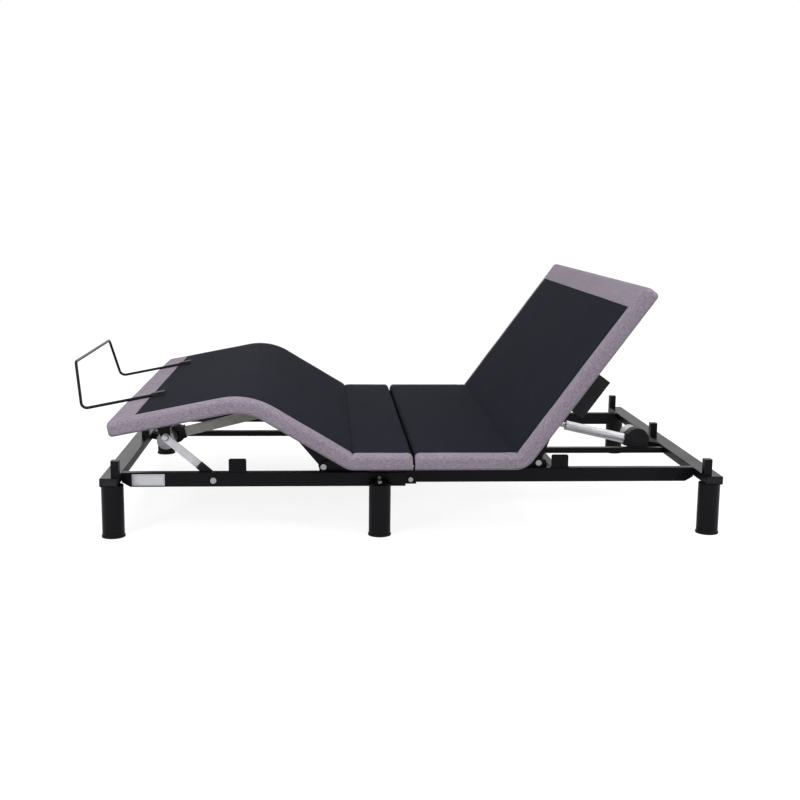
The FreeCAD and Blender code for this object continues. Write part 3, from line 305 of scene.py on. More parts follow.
@dataclass(frozen=True)
class CoatedSteel(Finish):
    """Powder-coated or lacquered steel with a fine orange peel and faint rubbed marks.

    Attributes:
        coat: weight of the clear coat.
        peel: the orange peel's bumps per metre.
        gloss: roughness of the clear coat.
        shine: specular level under the coat.
        rub: how much of the lighter rubbed colour shows.
        bare: how much lighter a rubbed mark is.
        spread: how far the roughness wanders.
        bump: the peel's height in metres.
    """

    coat: float = 0.3
    peel: float = 500.0
    gloss: float = 0.12
    shine: float = 0.3
    rub: float = 0.25
    bare: float = 3.0
    spread: float = 0.12
    bump: float = 0.00012

    def wire(self, graph: Graph) -> None:
        """Adds the peel, the uneven gloss and a few rubbed marks."""
        plain = graph.where(Layout.BODY, EVEN)
        cloud = graph.noise(plain, 9.0, 5.0)
        strokes = graph.noise(graph.where(Layout.BODY, (14.0, 60.0, 60.0)), 1.0, 6.0)
        marks = graph.ramp(strokes, (0.62, BLACK), (0.78, WHITE))
        tone = graph.ramp(cloud, (0.35, shade(self.colour, 0.8)), (0.65, shade(self.colour, 1.2)))
        worn = graph.mix(graph.math("MULTIPLY", marks, self.rub), tone, (*shade(self.colour, self.bare), 1.0))
        graph.drive("Base Color", worn)
        lift = graph.math("MULTIPLY_ADD", cloud, self.spread, self.rough - self.spread / 2)
        graph.drive("Roughness", graph.math("MULTIPLY_ADD", marks, 0.08, lift))
        graph.shader.inputs["Coat Weight"].default_value = self.coat
        graph.shader.inputs["Coat Roughness"].default_value = self.gloss
        graph.shader.inputs["Specular IOR Level"].default_value = self.shine
        graph.relief(graph.noise(plain, self.peel, 2.0), self.bump, 0.5)


@dataclass(frozen=True)
class BareMetal(Finish):
    """Plated, polished or brushed bare metal.

    Attributes:
        brush: stretch of the brushed lines along X, Y and Z, per metre.
        cloudy: patches of the plating per metre.
        share: how much the lines count in the colour, against the patches.
        spread: how far the roughness wanders.
        bump: the lines' height in metres.
    """

    brush: tuple[float, float, float] = (300.0, 300.0, 300.0)
    cloudy: float = 35.0
    share: float = 0.4
    spread: float = 0.2
    bump: float = 0.00008

    def wire(self, graph: Graph) -> None:
        """Adds fine lines, a cloudy plating and uneven gloss."""
        lines = graph.noise(graph.where(Layout.BODY, self.brush), 1.0, 3.0)
        cloud = graph.noise(graph.where(Layout.BODY, EVEN), self.cloudy, 4.0)
        patches = graph.math("MULTIPLY", cloud, 1.0 - self.share)
        tone = graph.ramp(graph.math("MULTIPLY_ADD", lines, self.share, patches),
                          (0.3, shade(self.colour, 0.82)), (0.7, shade(self.colour, 1.08)))
        graph.drive("Base Color", tone)
        graph.shader.inputs["Metallic"].default_value = 1.0
        uneven = graph.math("MULTIPLY_ADD", lines, self.spread, self.rough - self.spread / 2)
        graph.drive("Roughness", uneven)
        graph.relief(lines, self.bump, 0.5)


@dataclass(frozen=True)
class Moulded(Finish):
    """Moulded plastic or rubber with a fine spark texture.

    Attributes:
        grain: the spark texture's bumps per metre.
        spread: how far the roughness wanders.
        shine: specular level.
        bump: the texture's height in metres.
    """

    grain: float = 900.0
    spread: float = 0.16
    shine: float = 0.25
    bump: float = 0.00015

    def wire(self, graph: Graph) -> None:
        """Adds the spark texture and a slow shade change."""
        plain = graph.where(Layout.BODY, EVEN)
        spark = graph.noise(plain, self.grain, 2.0)
        tone = graph.ramp(graph.noise(plain, 20.0, 4.0), (0.35, shade(self.colour, 0.85)),
                          (0.65, shade(self.colour, 1.12)))
        graph.drive("Base Color", tone)
        uneven = graph.math("MULTIPLY_ADD", spark, self.spread, self.rough - self.spread / 2)
        graph.drive("Roughness", uneven)
        graph.shader.inputs["Specular IOR Level"].default_value = self.shine
        graph.relief(spark, self.bump, 0.7)


@dataclass(frozen=True)
class Timber(Finish):
    """Sawn wood or plywood with grain along the bed's width.

    Attributes:
        rings: lines of grain per metre across the board.
    """

    rings: float = 60.0

    def wire(self, graph: Graph) -> None:
        """Adds long grain, fine pores and slow bands of colour."""
        grain = graph.noise(graph.where(Layout.BODY, (self.rings, 5.0, self.rings)), 1.0, 6.0)
        pores = graph.noise(graph.where(Layout.BODY, (700.0, 30.0, 700.0)), 1.0, 2.0)
        tone = graph.ramp(grain, (0.3, shade(self.colour, 0.62)), (0.5, self.colour),
                          (0.75, shade(self.colour, 1.2)))
        dark = graph.ramp(pores, (0.3, (0.78,) * 3), (0.5, WHITE))
        graph.drive("Base Color", graph.mix(1.0, tone, dark, "MULTIPLY"))
        graph.relief(graph.math("ADD", grain, pores), 0.0004, 0.5)


@dataclass(frozen=True)
class BlankStock(Finish):
    """A blank sheet label with a darker printed border and no lettering.

    Attributes:
        low: the label's lowest corner.
        high: the label's highest corner.
        border: the distance of the border line from the edge.
        line: half the width of the border line.
    """

    low: tuple[float, float, float] = (0.0, 0.0, 0.0)
    high: tuple[float, float, float] = (1.0, 1.0, 1.0)
    border: float = 0.004
    line: float = 0.0009

    def wire(self, graph: Graph) -> None:
        """Draws the border by its distance from the label's edges."""
        spot = graph.node("SeparateXYZ", {0: graph.node("TexCoord").outputs["Object"]}).outputs
        gaps = []
        for axis in (0, 2):
            gaps.append(graph.math("SUBTRACT", spot[axis], self.low[axis]))
            gaps.append(graph.math("SUBTRACT", self.high[axis], spot[axis]))
        edge = graph.math("MINIMUM", graph.math("MINIMUM", *gaps[:2]), graph.math("MINIMUM", *gaps[2:]))
        line = graph.math("COMPARE", edge, self.border, self.line)
        fibre = graph.noise(graph.where(Layout.BODY, (400.0, 400.0, 400.0)), 1.0, 3.0)
        paper = graph.ramp(fibre, (0.3, shade(self.colour, 0.9)), (0.7, self.colour))
        graph.drive("Base Color", graph.mix(line, paper, (*shade(self.colour, 0.6), 1.0)))
        graph.relief(fibre, 0.0001, 0.3)


BORDER_CLOTH = Cloth("border_cloth", (0.30, 0.255, 0.315), 0.85, 0.45, 0.002, 0.05, 0.1)
TOP_CLOTH = Cloth("top_cloth", (0.0125, 0.014, 0.023), 0.85, 0.32, 0.0014, 0.0, 0.04)
SEAM_THREAD = Cloth("seam_thread", (0.022, 0.023, 0.032), 0.7, 0.3, 0.0008, 0.0, 0.1)
BLACK_FRAME = CoatedSteel("black_frame_coat", (0.0038, 0.0038, 0.0062), 0.36, 0.0, 500.0, 0.3, 0.2)
GLOSS_LEG = CoatedSteel("gloss_leg_lacquer", (0.003, 0.003, 0.0045), 0.16, 0.0, 300.0, 0.08, 0.22)
ZINC = BareMetal("zinc_plate", (0.62, 0.63, 0.66), 0.34)
SILVER = BareMetal("silver_tube_finish", (0.74, 0.75, 0.78), 0.3, (15.0, 900.0, 900.0))
GREY_TUBE = BareMetal("grey_tube_finish", (0.42, 0.415, 0.38), 0.42, (15.0, 900.0, 900.0))
LINK_PLATE = BareMetal("link_plate_finish", (0.88, 0.88, 0.94), 0.45, (60.0, 900.0, 60.0))
SCREW_STEEL = BareMetal("screw_steel_finish", (0.42, 0.42, 0.43), 0.4)
MOTOR_CAN = BareMetal("motor_can_finish", (0.5, 0.51, 0.54), 0.38, (200.0, 40.0, 200.0))
BLACK_PLASTIC = Moulded("black_plastic_shell", (0.014, 0.014, 0.017), 0.5)
RUBBER = Moulded("rubber_glide", (0.008, 0.008, 0.009), 0.6, 500.0)
NYLON = Moulded("nylon_glide", (0.03, 0.03, 0.035), 0.4, 600.0)
PLYWOOD = Timber("plywood_board", (0.52, 0.37, 0.22), 0.62, 90.0)
PINE = Timber("pine_slat", (0.66, 0.48, 0.28), 0.6, 45.0)


# ---------------------------------------------------------------- mesh helpers


def soften(mesh: bmesh.types.BMesh, edges: list[bmesh.types.BMEdge], radius: float, segments: int) -> None:
    """Rounds the given edges."""
    bmesh.ops.bevel(mesh, geom=edges, offset=radius, offset_type="OFFSET", segments=segments,
                    profile=0.5, affect="EDGES", material=-1)


def slab(size: Sequence[float]) -> bmesh.types.BMesh:
    """Makes a block round the origin.

    Args:
        size: its length along X, Y and Z.

    Returns:
        The block's bmesh.
    """
    mesh = bmesh.new()
    bmesh.ops.create_cube(mesh, size=1.0)
    bmesh.ops.scale(mesh, vec=size, verts=mesh.verts)
    return mesh


def finished(mesh: bmesh.types.BMesh, name: str, smooth: float = 40.0) -> bpy.types.Object:
    """Turns a bmesh into an object at the origin.

    Args:
        mesh: the bmesh, freed afterwards.
        name: the piece's name.
        smooth: edges sharper than this many degrees stay hard.

    Returns:
        The new object, linked to the scene.
    """
    for face in mesh.faces:
        face.smooth = True
    for edge in mesh.edges:
        edge.smooth = len(edge.link_faces) == 2 and edge.calc_face_angle(0.0) < math.radians(smooth)
    data = bpy.data.meshes.new(name)
    mesh.to_mesh(data)
    mesh.free()
    made = bpy.data.objects.new(name, data)
    bpy.context.scene.collection.objects.link(made)
    return made


def pivot(joint: str) -> Vector:
    """Returns a joint's pivot point at rest, in metres."""
    return Vector(next(item for item in frame["joints"] if item["name"] == joint)["pos_m"])


# ---------------------------------------------------------------- the deck


@dataclass
class TopLine:
    """The deck's top line in the XZ plane: straight runs joined by arcs.

    Attributes:
        side: which way the line runs from the split.
        corners: the points where the runs would meet, first to last.
        radii: the arc radius at each inner corner.
        parts: the runs and arcs, each as its start, length, first point, heading and curvature.
    """

    side: Side
    corners: list[Vector]
    radii: list[float]
    parts: list[tuple[float, float, Vector, Vector, float]] = field(default_factory=list)

    def __post_init__(self) -> None:
        """Cuts the line into its runs and arcs."""
        spot, reached = self.corners[0].copy(), 0.0
        for number in range(1, len(self.corners)):
            heading = (self.corners[number] - self.corners[number - 1]).normalized()
            end = self.corners[number]
            last = number == len(self.corners) - 1
            cut = turn = 0.0
            if not last:
                after = (self.corners[number + 1] - end).normalized()
                turn = math.atan2(heading.x * after.y - heading.y * after.x, heading.dot(after))
                cut = self.radii[number - 1] * math.tan(abs(turn) / 2)
            length = (end - spot).length - cut
            self.parts.append((reached, length, spot.copy(), heading, 0.0))
            reached += length
            spot = spot + heading * length
            if not last:
                radius = self.radii[number - 1]
                self.parts.append((reached, radius * abs(turn), spot.copy(), heading,
                                   math.copysign(1 / radius, turn)))
                reached += radius * abs(turn)
                spot = end + after * cut

    @property
    def length(self) -> float:
        """The whole flat length of the line."""
        return self.parts[-1][0] + self.parts[-1][1]

    def place(self, along: float, drop: float) -> tuple[float, float]:
        """Finds a point of the bent deck.

        Args:
            along: the flat distance from the split.
            drop: the depth under the top line.

        Returns:
            The point's x and z.
        """
        part = next((item for item in reversed(self.parts) if along >= item[0]), self.parts[0])
        start, _, spot, heading, bend = part
        run = along - start
        if bend:
            angle = run * bend
            ahead, aside = math.sin(angle) / bend, (1 - math.cos(angle)) / bend
        else:
            angle, ahead, aside = 0.0, run, 0.0
        left = Vector((-heading.y, heading.x))
        point = spot + heading * ahead + left * aside
        up = (left * math.cos(angle) - heading * math.sin(angle)) * self.side.value
        point = point - up * drop
        return point.x, point.y


@dataclass
class CoverPiece:
    """One piece of the cover, between two stations of a deck half.

    Attributes:
        name: the piece's name.
        start: where it starts along the flat deck, or None at the split.
        end: where it ends, or None at the free end.
        bodies: the two bodies on either side of its bend; not used.
        fold: the flat stations between which it bends.
        nodes: the plain pads it stands for.
    """

    name: str
    start: float | None
    end: float | None
    bodies: tuple[str, str]
    fold: tuple[float, float]
    nodes: tuple[str, ...]


@dataclass(frozen=True)
class Stitch:
    """The stitches beside the cover's seam.

    Attributes:
        inset: how far the row stands inside the seam.
        first: where the row starts, from the split.
        pitch: the distance from stitch to stitch.
        long: a stitch's length.
        thick: its radius.
        lift: how far it stands over the cloth.
    """

    inset: float = 0.005
    first: float = 0.012
    pitch: float = 0.0075
    long: float = 0.0052
    thick: float = 0.0006
    lift: float = 0.0004


@dataclass
class DeckCover:
    """The padded cover over one half of the deck, sewn from a border cloth and a dark top.

    Attributes:
        side: which way this half runs.
        line: its top line.
        half: half the width.
        depth: the cover's height from top to hem.
        wall: how thick the padding is round the boards.
        edge: how far the top edge is rounded.
        hem: how far the lower edge is rounded.
        corner: the radius of the free end's corners in plan.
        pad: how thick the padding is over the boards.
        margin: the border's width at the sides.
        end_margin: the border's width at the free end.
        split_edge: how far the dark top turns down at the split.
        step: the distance between the rows of cuts that let the cover bend.
        columns: how many strips each side of the middle is cut into.
        row_gap: a row closer than this to a seam or a fold is left out.
        column_gap: the same for a column.
        flank: where the cuts beside a seam run, from the seam.
        beside: where the cuts beside a crease run, from the crease.
        groove: how deep the seam is drawn in.
        crown: how far the padding swells in the middle.
        wrinkle: the height of its small unevenness.
        bulge: how far the sides swell.
        creases: the flat stations of the folds over the hinges.
        crease_depth: how deep a fold is.
        crease_width: how wide it is.
        ripple: the height of the puckers beside a fold.
        ripple_reach: how far they run from it.
        pucker: how far the top swells between the seams.
        pucker_reach: the distance over which it does.
    """

    side: Side
    line: TopLine
    half: float
    end_margin: float
    depth: float = 0.051
    wall: float = 0.0115
    pad: float = 0.0195
    margin: float = 0.042
    edge: float = 0.018
    hem: float = 0.0112
    corner: float = 0.018
    split_edge: float = 0.02
    step: float = 0.0125
    columns: int = 30
    row_gap: float = 0.002
    column_gap: float = 0.004
    flank: float = 0.003
    beside: tuple[float, ...] = (0.0, 0.002, 0.005, 0.009)
    groove: float = 0.0016
    crown: float = 0.003
    wrinkle: float = 0.0009
    bulge: float = 0.0022
    creases: tuple[float, ...] = ()
    crease_depth: float = 0.0035
    crease_width: float = 0.0038
    ripple: float = 0.0016
    ripple_reach: float = 0.05
    pucker: float = 0.0012
    pucker_reach: float = 0.012

    @property
    def seams(self) -> tuple[float, float]:
        """Where the seams run: from the middle at the sides, and from the split at the free end."""
        return self.half - self.margin, self.line.length - self.end_margin

    def block(self) -> bmesh.types.BMesh:
        """Makes the flat cover: a rounded slab with a hollow for the boards, hem open below.

        Returns:
            The cover's bmesh, with the split at X 0 and the top at Z 0.
        """
        length = self.line.length
        mesh = slab((length, self.half * 2, self.depth))
        bmesh.ops.translate(mesh, vec=(length / 2, 0, -self.depth / 2), verts=mesh.verts)
        upright = [edge for edge in mesh.edges
                   if all(vert.co.x > length / 2 for vert in edge.verts)
                   and abs(edge.verts[0].co.z - edge.verts[1].co.z) > self.depth / 2]
        soften(mesh, upright, self.corner, 6)
        for level, radius, segments in ((0.0, self.edge, 6), (-self.depth, self.hem, 4)):
            rim = [edge for edge in mesh.edges
                   if all(abs(vert.co.z - level) < NEAR_ZERO for vert in edge.verts)
                   and not all(vert.co.x < NEAR_ZERO for vert in edge.verts)]
            soften(mesh, rim, radius, segments)
        front = [edge for edge in mesh.edges
                 if all(vert.co.x < NEAR_ZERO and vert.co.z > -self.edge * 1.01 for vert in edge.verts)]
        soften(mesh, front, self.edge * 0.9, 5)
        floor = [face for face in mesh.faces if face.normal.z < -0.99]
        bmesh.ops.inset_region(mesh, faces=floor, thickness=self.wall - self.hem)
        raised = bmesh.ops.extrude_face_region(mesh, geom=floor)
        moved = [item for item in raised["geom"] if isinstance(item, bmesh.types.BMVert)]
        bmesh.ops.translate(mesh, vec=(0, 0, self.depth - self.pad), verts=moved)
        bmesh.ops.delete(mesh, geom=floor, context="FACES")
        bmesh.ops.recalc_face_normals(mesh, faces=mesh.faces)
        return mesh

    def slice(self, mesh: bmesh.types.BMesh) -> None:
        """Cuts rows and columns into the flat cover so that it can bend, crown and carry its seams.

        Args:
            mesh: the flat cover.
        """
        inner, last = self.seams
        gaps = (-self.flank, 0.0, self.flank)
        rows = {round(self.step * number, 5) for number in range(1, int(self.line.length / self.step))}
        folds = [last + gap for gap in gaps]
        folds += [crease + sign * gap for crease in self.creases for gap in self.beside for sign in (-1, 1)]
        rows = {row for row in rows if min(abs(row - fold) for fold in folds) > self.row_gap} | set(folds)
        columns = {self.half * number / self.columns for number in range(1 - self.columns, self.columns)}
        edges = [side * (inner + gap) for side in (-1, 1) for gap in gaps]
        columns = {column for column in columns
                   if min(abs(column - edge) for edge in edges) > self.column_gap}
        columns |= set(edges)
        for row in sorted(rows):
            self.cut(mesh, (row, 0, 0), (1, 0, 0))
        for column in sorted(columns):
            self.cut(mesh, (0, column, 0), (0, 1, 0))

    @staticmethod
    def cut(mesh: bmesh.types.BMesh, spot: Sequence[float], facing: Sequence[float],
            beyond: bool = False) -> None:
        """Cuts through the mesh on a plane, and takes away what lies beyond it if asked."""
        geometry = mesh.verts[:] + mesh.edges[:] + mesh.faces[:]
        bmesh.ops.bisect_plane(mesh, geom=geometry, dist=CUT_REACH, plane_co=spot, plane_no=facing,
                               clear_outer=beyond)

    def mark(self, mesh: bmesh.types.BMesh) -> None:
        """Lays the cloth map on the flat cover and tells the dark top from the border.

        Args:
            mesh: the flat cover, already cut into rows and columns.
        """
        inner, last = self.seams
        layer = mesh.loops.layers.uv.new("cloth")
        mesh.normal_update()
        for face in mesh.faces:
            facing, middle = face.normal, face.calc_center_median()
            way = max(range(3), key=lambda axis: abs(facing[axis]))
            for loop in face.loops:
                spot = loop.vert.co
                pair = {0: (spot.z + 4, spot.y), 1: (spot.x, spot.z + 2), 2: (spot.x, spot.y)}[way]
                loop[layer].uv = pair
            on_top = facing.z > 0.2 and middle.z > -self.edge
            at_split = facing.x < -0.3 and middle.x < self.split_edge
            face.material_index = int(abs(middle.y) < inner and middle.x < last and (on_top or at_split))

    def fill(self, spot: Vector) -> float:
        """Finds how far a point of the flat top swells or sinks.

        Args:
            spot: the point, along and across the flat cover.

        Returns:
            The rise in metres.
        """
        inner, last = self.seams
        across = max(0.0, 1 - (abs(spot.y) / self.half) ** 4)
        slow = noise.noise(Vector((spot.x * 3, spot.y * 3, self.side.value)))
        swell = self.crown * across * (0.75 + 0.5 * slow)
        swell += self.wrinkle * noise.noise(Vector((spot.x * 11, spot.y * 5, 3.0)))
        for crease in self.creases:
            away = spot.x - crease
            swell -= self.crease_depth * math.exp(-((away / self.crease_width) ** 2))
            fade = math.exp(-((away / self.ripple_reach) ** 2))
            ripple = fade * noise.noise(Vector((spot.x * 40, spot.y * 9, 7.0)))
            swell += self.ripple * ripple
        beside, before = abs(spot.y) - inner, spot.x - last
        if before < self.row_gap and beside < self.row_gap:
            seam = min(abs(beside), abs(before))
            swell += self.pucker * min(1.0, seam / self.pucker_reach)
        if min(max(abs(beside), before), max(abs(before), beside)) < 0.001:
            swell -= self.groove
        return swell

    def bend(self, mesh: bmesh.types.BMesh) -> None:
        """Swells the flat cover and lays it along the top line.

        Args:
            mesh: the flat cover, or one piece of it.
        """
        for vert in mesh.verts:
            spot = vert.co
            if spot.z > -self.edge * 1.05 and spot.z > -self.pad + 1e-4:
                spot.z += self.fill(spot) * min(1.0, 1 + spot.z / self.edge)
            side_bulge = self.bulge * math.sin(math.pi * min(1.0, max(0.0, -spot.z / self.depth)))
            if abs(abs(spot.y) - self.half) < 1e-4:
                spot.y -= math.copysign(self.bulge - side_bulge, spot.y)
            x, z = self.line.place(spot.x, -spot.z)
            vert.co = (x, spot.y, z)
        if self.side is Side.FOOT:
            bmesh.ops.reverse_faces(mesh, faces=mesh.faces)

    def seam_run(self, piece: CoverPiece) -> bmesh.types.BMesh:
        """Makes the row of stitches beside the seam.

        Args:
            piece: the piece whose stations hold the row.

        Returns:
            The stitches' bmesh.
        """
        stitch = Stitch()
        inner, last = (seam - stitch.inset for seam in self.seams)
        low = piece.start if piece.start is not None else stitch.first
        high = piece.end if piece.end is not None else last
        pitch = stitch.pitch
        spots = [(low + pitch * (number + 0.5), side * inner, False)
                 for number in range(int((high - low) / pitch)) for side in (-1, 1)]
        if piece.end is None:
            spots += [(last, pitch * (number + 0.5) - inner, True)
                      for number in range(int(2 * inner / pitch))]
        mesh = bmesh.new()
        for along, across, turned in spots:
            made = bmesh.ops.create_icosphere(mesh, subdivisions=1, radius=1.0)["verts"]
            reach = [stitch.thick] * 3
            reach[int(turned)] = stitch.long / 2
            bmesh.ops.scale(mesh, vec=reach, verts=made)
            bmesh.ops.translate(mesh, vec=(along, across, stitch.lift), verts=made)
        layer = mesh.loops.layers.uv.new("cloth")
        for face in mesh.faces:
            for loop in face.loops:
                loop[layer].uv = (loop.vert.co.x, loop.vert.co.y)
        for vert in mesh.verts:
            spot = vert.co
            x, z = self.line.place(spot.x, -spot.z - self.fill(Vector((spot.x, spot.y, 0.0))))
            vert.co = (x, spot.y, z)
        if self.side is Side.FOOT:
            bmesh.ops.reverse_faces(mesh, faces=mesh.faces)
        return mesh

    def sew(self, pieces: Sequence[CoverPiece]) -> None:
        """Makes this half's cover as separate pieces, each laid bent over one hinge.

        Args:
            pieces: the pieces, from the split to the free end.
        """
        whole = self.block()
        self.slice(whole)
        self.mark(whole)
        for piece in pieces:
            part = whole.copy()
            if piece.start is not None:
                self.cut(part, (piece.start, 0, 0), (-1, 0, 0), True)
            if piece.end is not None:
                self.cut(part, (piece.end, 0, 0), (1, 0, 0), True)
            self.bend(part)
            made = finished(part, piece.name)
            for finish in (BORDER_CLOTH, TOP_CLOTH):
                made.data.materials.append(finish.build())
            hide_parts(*piece.nodes)
            stitches = finished(self.seam_run(piece), piece.name + "_stitches", 180.0)
            SEAM_THREAD.dress(stitches)
            for item in (made, stitches):
                start, end = (self.line.place(at, 0.02) for at in piece.fold)
                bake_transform(item)
                log.info("%s: %d faces", item.name, len(item.data.polygons))
        whole.free()


@dataclass
class Deck:
    """The whole upholstered deck, in two halves that meet at the split.

    Attributes:
        top: the height of the flat deck.
        knee_rise: how far the deck's top lies over the knee hinges.
        crease_rise: how far it lies over the thigh and head hinges.
        crease_radius: how tightly the top bends there.
        leg_reach: the leg section's length from the knee.
        head_reach: the head section's length from its hinge.
        head_tilt: the head section's slope at rest, in degrees.
        foot_margin: the border's width at the foot end.
        head_margin: the border's width at the head end.
        thigh_fold: half the length over which the cover bends at the thigh hinge.
        head_fold: the same at the head hinge.
    """

    top: float = 0.290
    knee_rise: float = 0.040
    crease_rise: float = 0.005
    crease_radius: float = 0.022
    leg_reach: float = 0.401
    head_reach: float = 0.674
    head_tilt: float = 54.0
    foot_margin: float = 0.089
    head_margin: float = 0.086
    thigh_fold: float = 0.04
    head_fold: float = 0.045

    @staticmethod
    def crossing(first: tuple[Vector, Vector], second: tuple[Vector, Vector]) -> Vector:
        """Finds where two lines cross.

        Args:
            first: the first line's point and heading.
            second: the second line's point and heading.

        Returns:
            The crossing point.
        """
        (spot, way), (other, turn) = first, second
        gap = other - spot
        run = (gap.x * turn.y - gap.y * turn.x) / (way.x * turn.y - way.y * turn.x)
        return spot + way * run

    @staticmethod
    def run_over(spot: Vector, heading: Vector, rise: float) -> tuple[Vector, Vector]:
        """Returns the line that lies over a hinge, parallel to a heading."""
        over = Vector((-heading.y, heading.x))
        return spot + over * math.copysign(rise, over.y), heading

    def build_foot(self) -> None:
        """Builds the seat's foot half, the thigh, knee and leg sections as three bending pieces."""
        hinges = ("thigh_hinge", "knee_upper_hinge", "knee_lower_hinge")
        thigh, knee, ankle = (pivot(name).xz for name in hinges)
        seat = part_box("seat_foot_pad")
        reach = Vector((knee.x - thigh.x, knee.y - thigh.y))
        drop = self.knee_rise - self.crease_rise
        run = math.sqrt(reach.length_squared - drop * drop)
        tilt = math.atan2(reach.y, -reach.x) + math.atan2(drop, run)
        way = Vector((-math.cos(tilt), math.sin(tilt)))
        flat = (Vector((seat[1].x, self.top)), Vector((-1.0, 0.0)))
        over_thigh = self.run_over(thigh, way, self.crease_rise)
        over_knee = self.run_over(knee, (ankle - knee).normalized(), self.knee_rise)
        slope = self.leg_slope()
        leg_way = Vector((-math.cos(slope), -math.sin(slope)))
        over_leg = self.run_over(ankle, leg_way, self.knee_rise)
        bends = [self.crossing(flat, over_thigh), self.crossing(over_thigh, over_knee),
                 self.crossing(over_knee, over_leg)]
        low_edge = over_leg[0] + leg_way * self.leg_reach
        corners = [flat[0], *bends, low_edge]
        middle = (bends[2] - bends[1]).length / 2
        arc = middle / math.tan(abs(way.angle_signed(over_knee[1])) / 2)
        other_arc = middle / math.tan(abs(over_knee[1].angle_signed(leg_way)) / 2)
        line = TopLine(Side.FOOT, corners, [self.crease_radius, arc, other_arc])
        thigh_part, knee_part, leg_part = line.parts[2], line.parts[3], line.parts[-1]
        crease = line.parts[1][0] + line.parts[1][1] / 2
        mid_thigh = thigh_part[0] + thigh_part[1] / 2
        mid_knee = next(part[0] for part in line.parts[4:] if part[4] or part[1] > 1e-4)
        log.info("foot half %.4f long", line.length)
        cover = DeckCover(Side.FOOT, line, seat[1].y, self.foot_margin, creases=(crease,))
        cover.sew([
            CoverPiece("seat_thigh_cover", None, mid_thigh, ("base", "thigh_panel"),
                       (crease - self.thigh_fold, crease + self.thigh_fold), ("seat_foot_pad", "thigh_pad")),
            CoverPiece("knee_cover", mid_thigh, mid_knee, ("thigh_panel", "knee_slat"),
                       (knee_part[0], mid_knee), ("knee_pad",)),
            CoverPiece("leg_cover", mid_knee, None, ("knee_slat", "leg_panel"),
                       (mid_knee, leg_part[0]), ("leg_pad",)),
        ])

    @staticmethod
    def leg_slope() -> float:
        """Returns the leg section's slope at rest, from its slide's direction."""
        axis = next(item for item in frame["joints"] if item["name"] == "retainer_pull_out")["axis"]
        return math.atan2(-axis[2], -axis[0])

    def build_head(self) -> None:
        """Builds the seat's head half and the head section as one bending piece."""
        hinge = pivot("head_hinge").xz
        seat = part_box("seat_head_pad")
        tilt = math.radians(self.head_tilt)
        way = Vector((math.cos(tilt), math.sin(tilt)))
        flat = (Vector((seat[0].x, self.top)), Vector((1.0, 0.0)))
        over = self.run_over(hinge, way, self.crease_rise)
        end = over[0] + way * self.head_reach
        line = TopLine(Side.HEAD, [flat[0], self.crossing(flat, over), end], [self.crease_radius])
        crease = line.parts[1][0] + line.parts[1][1] / 2
        log.info("head half %.4f long", line.length)
        cover = DeckCover(Side.HEAD, line, seat[1].y, self.head_margin, creases=(crease,))
        cover.sew([CoverPiece("seat_head_cover", None, None, ("base", "head_panel"),
                              (crease - self.head_fold, crease + self.head_fold),
                              ("seat_head_pad", "head_pad"))])

    def build(self) -> None:
        """Builds both halves."""
        self.build_foot()
        self.build_head()


# ---------------------------------------------------------------- small fitted parts


@dataclass
class EndCaps:
    """Moulded plugs that close the open ends of the two crossbars.

    Attributes:
        lip: how far a plug's flange stands inside the bar's end.
        round: the radius of the flange's edges.
        clear: how much smaller than the bar the flange is.
        rim: the width of the flange's raised rim.
        dish: how far its middle is sunk.
    """

    lip: float = 0.0035
    round: float = 0.0012
    clear: float = 0.0042
    rim: float = 0.004
    dish: float = 0.0008

    def build(self) -> None:
        """Makes one plug at each end of each crossbar."""
        for bar in ("foot_crossbar", "head_crossbar"):
            low, high = (Vector(corner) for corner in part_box(bar))
            for name, outer, inner in (("near", low.y, low.y + self.lip), ("far", high.y, high.y - self.lip)):
                mesh = slab((high.x - low.x - self.clear, abs(outer - inner), high.z - low.z - self.clear))
                soften(mesh, mesh.edges[:], self.round, 3)
                face = max(mesh.faces, key=lambda item: abs(item.normal.y) * item.calc_area()
                           * (1.0 if (item.normal.y > 0) == (outer > 0) else 0.1))
                bmesh.ops.inset_region(mesh, faces=[face], thickness=self.rim)
                bmesh.ops.translate(mesh, vec=(0, -math.copysign(self.dish, outer), 0), verts=face.verts[:])
                middle = ((low.x + high.x) / 2, (outer + inner) / 2, (low.z + high.z) / 2)
                bmesh.ops.translate(mesh, vec=middle, verts=mesh.verts)
                plug = finished(mesh, f"{bar}_{name}_plug")
                BLACK_PLASTIC.dress(plug)
                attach(plug, "base")
                log.info("%s made", plug.name)


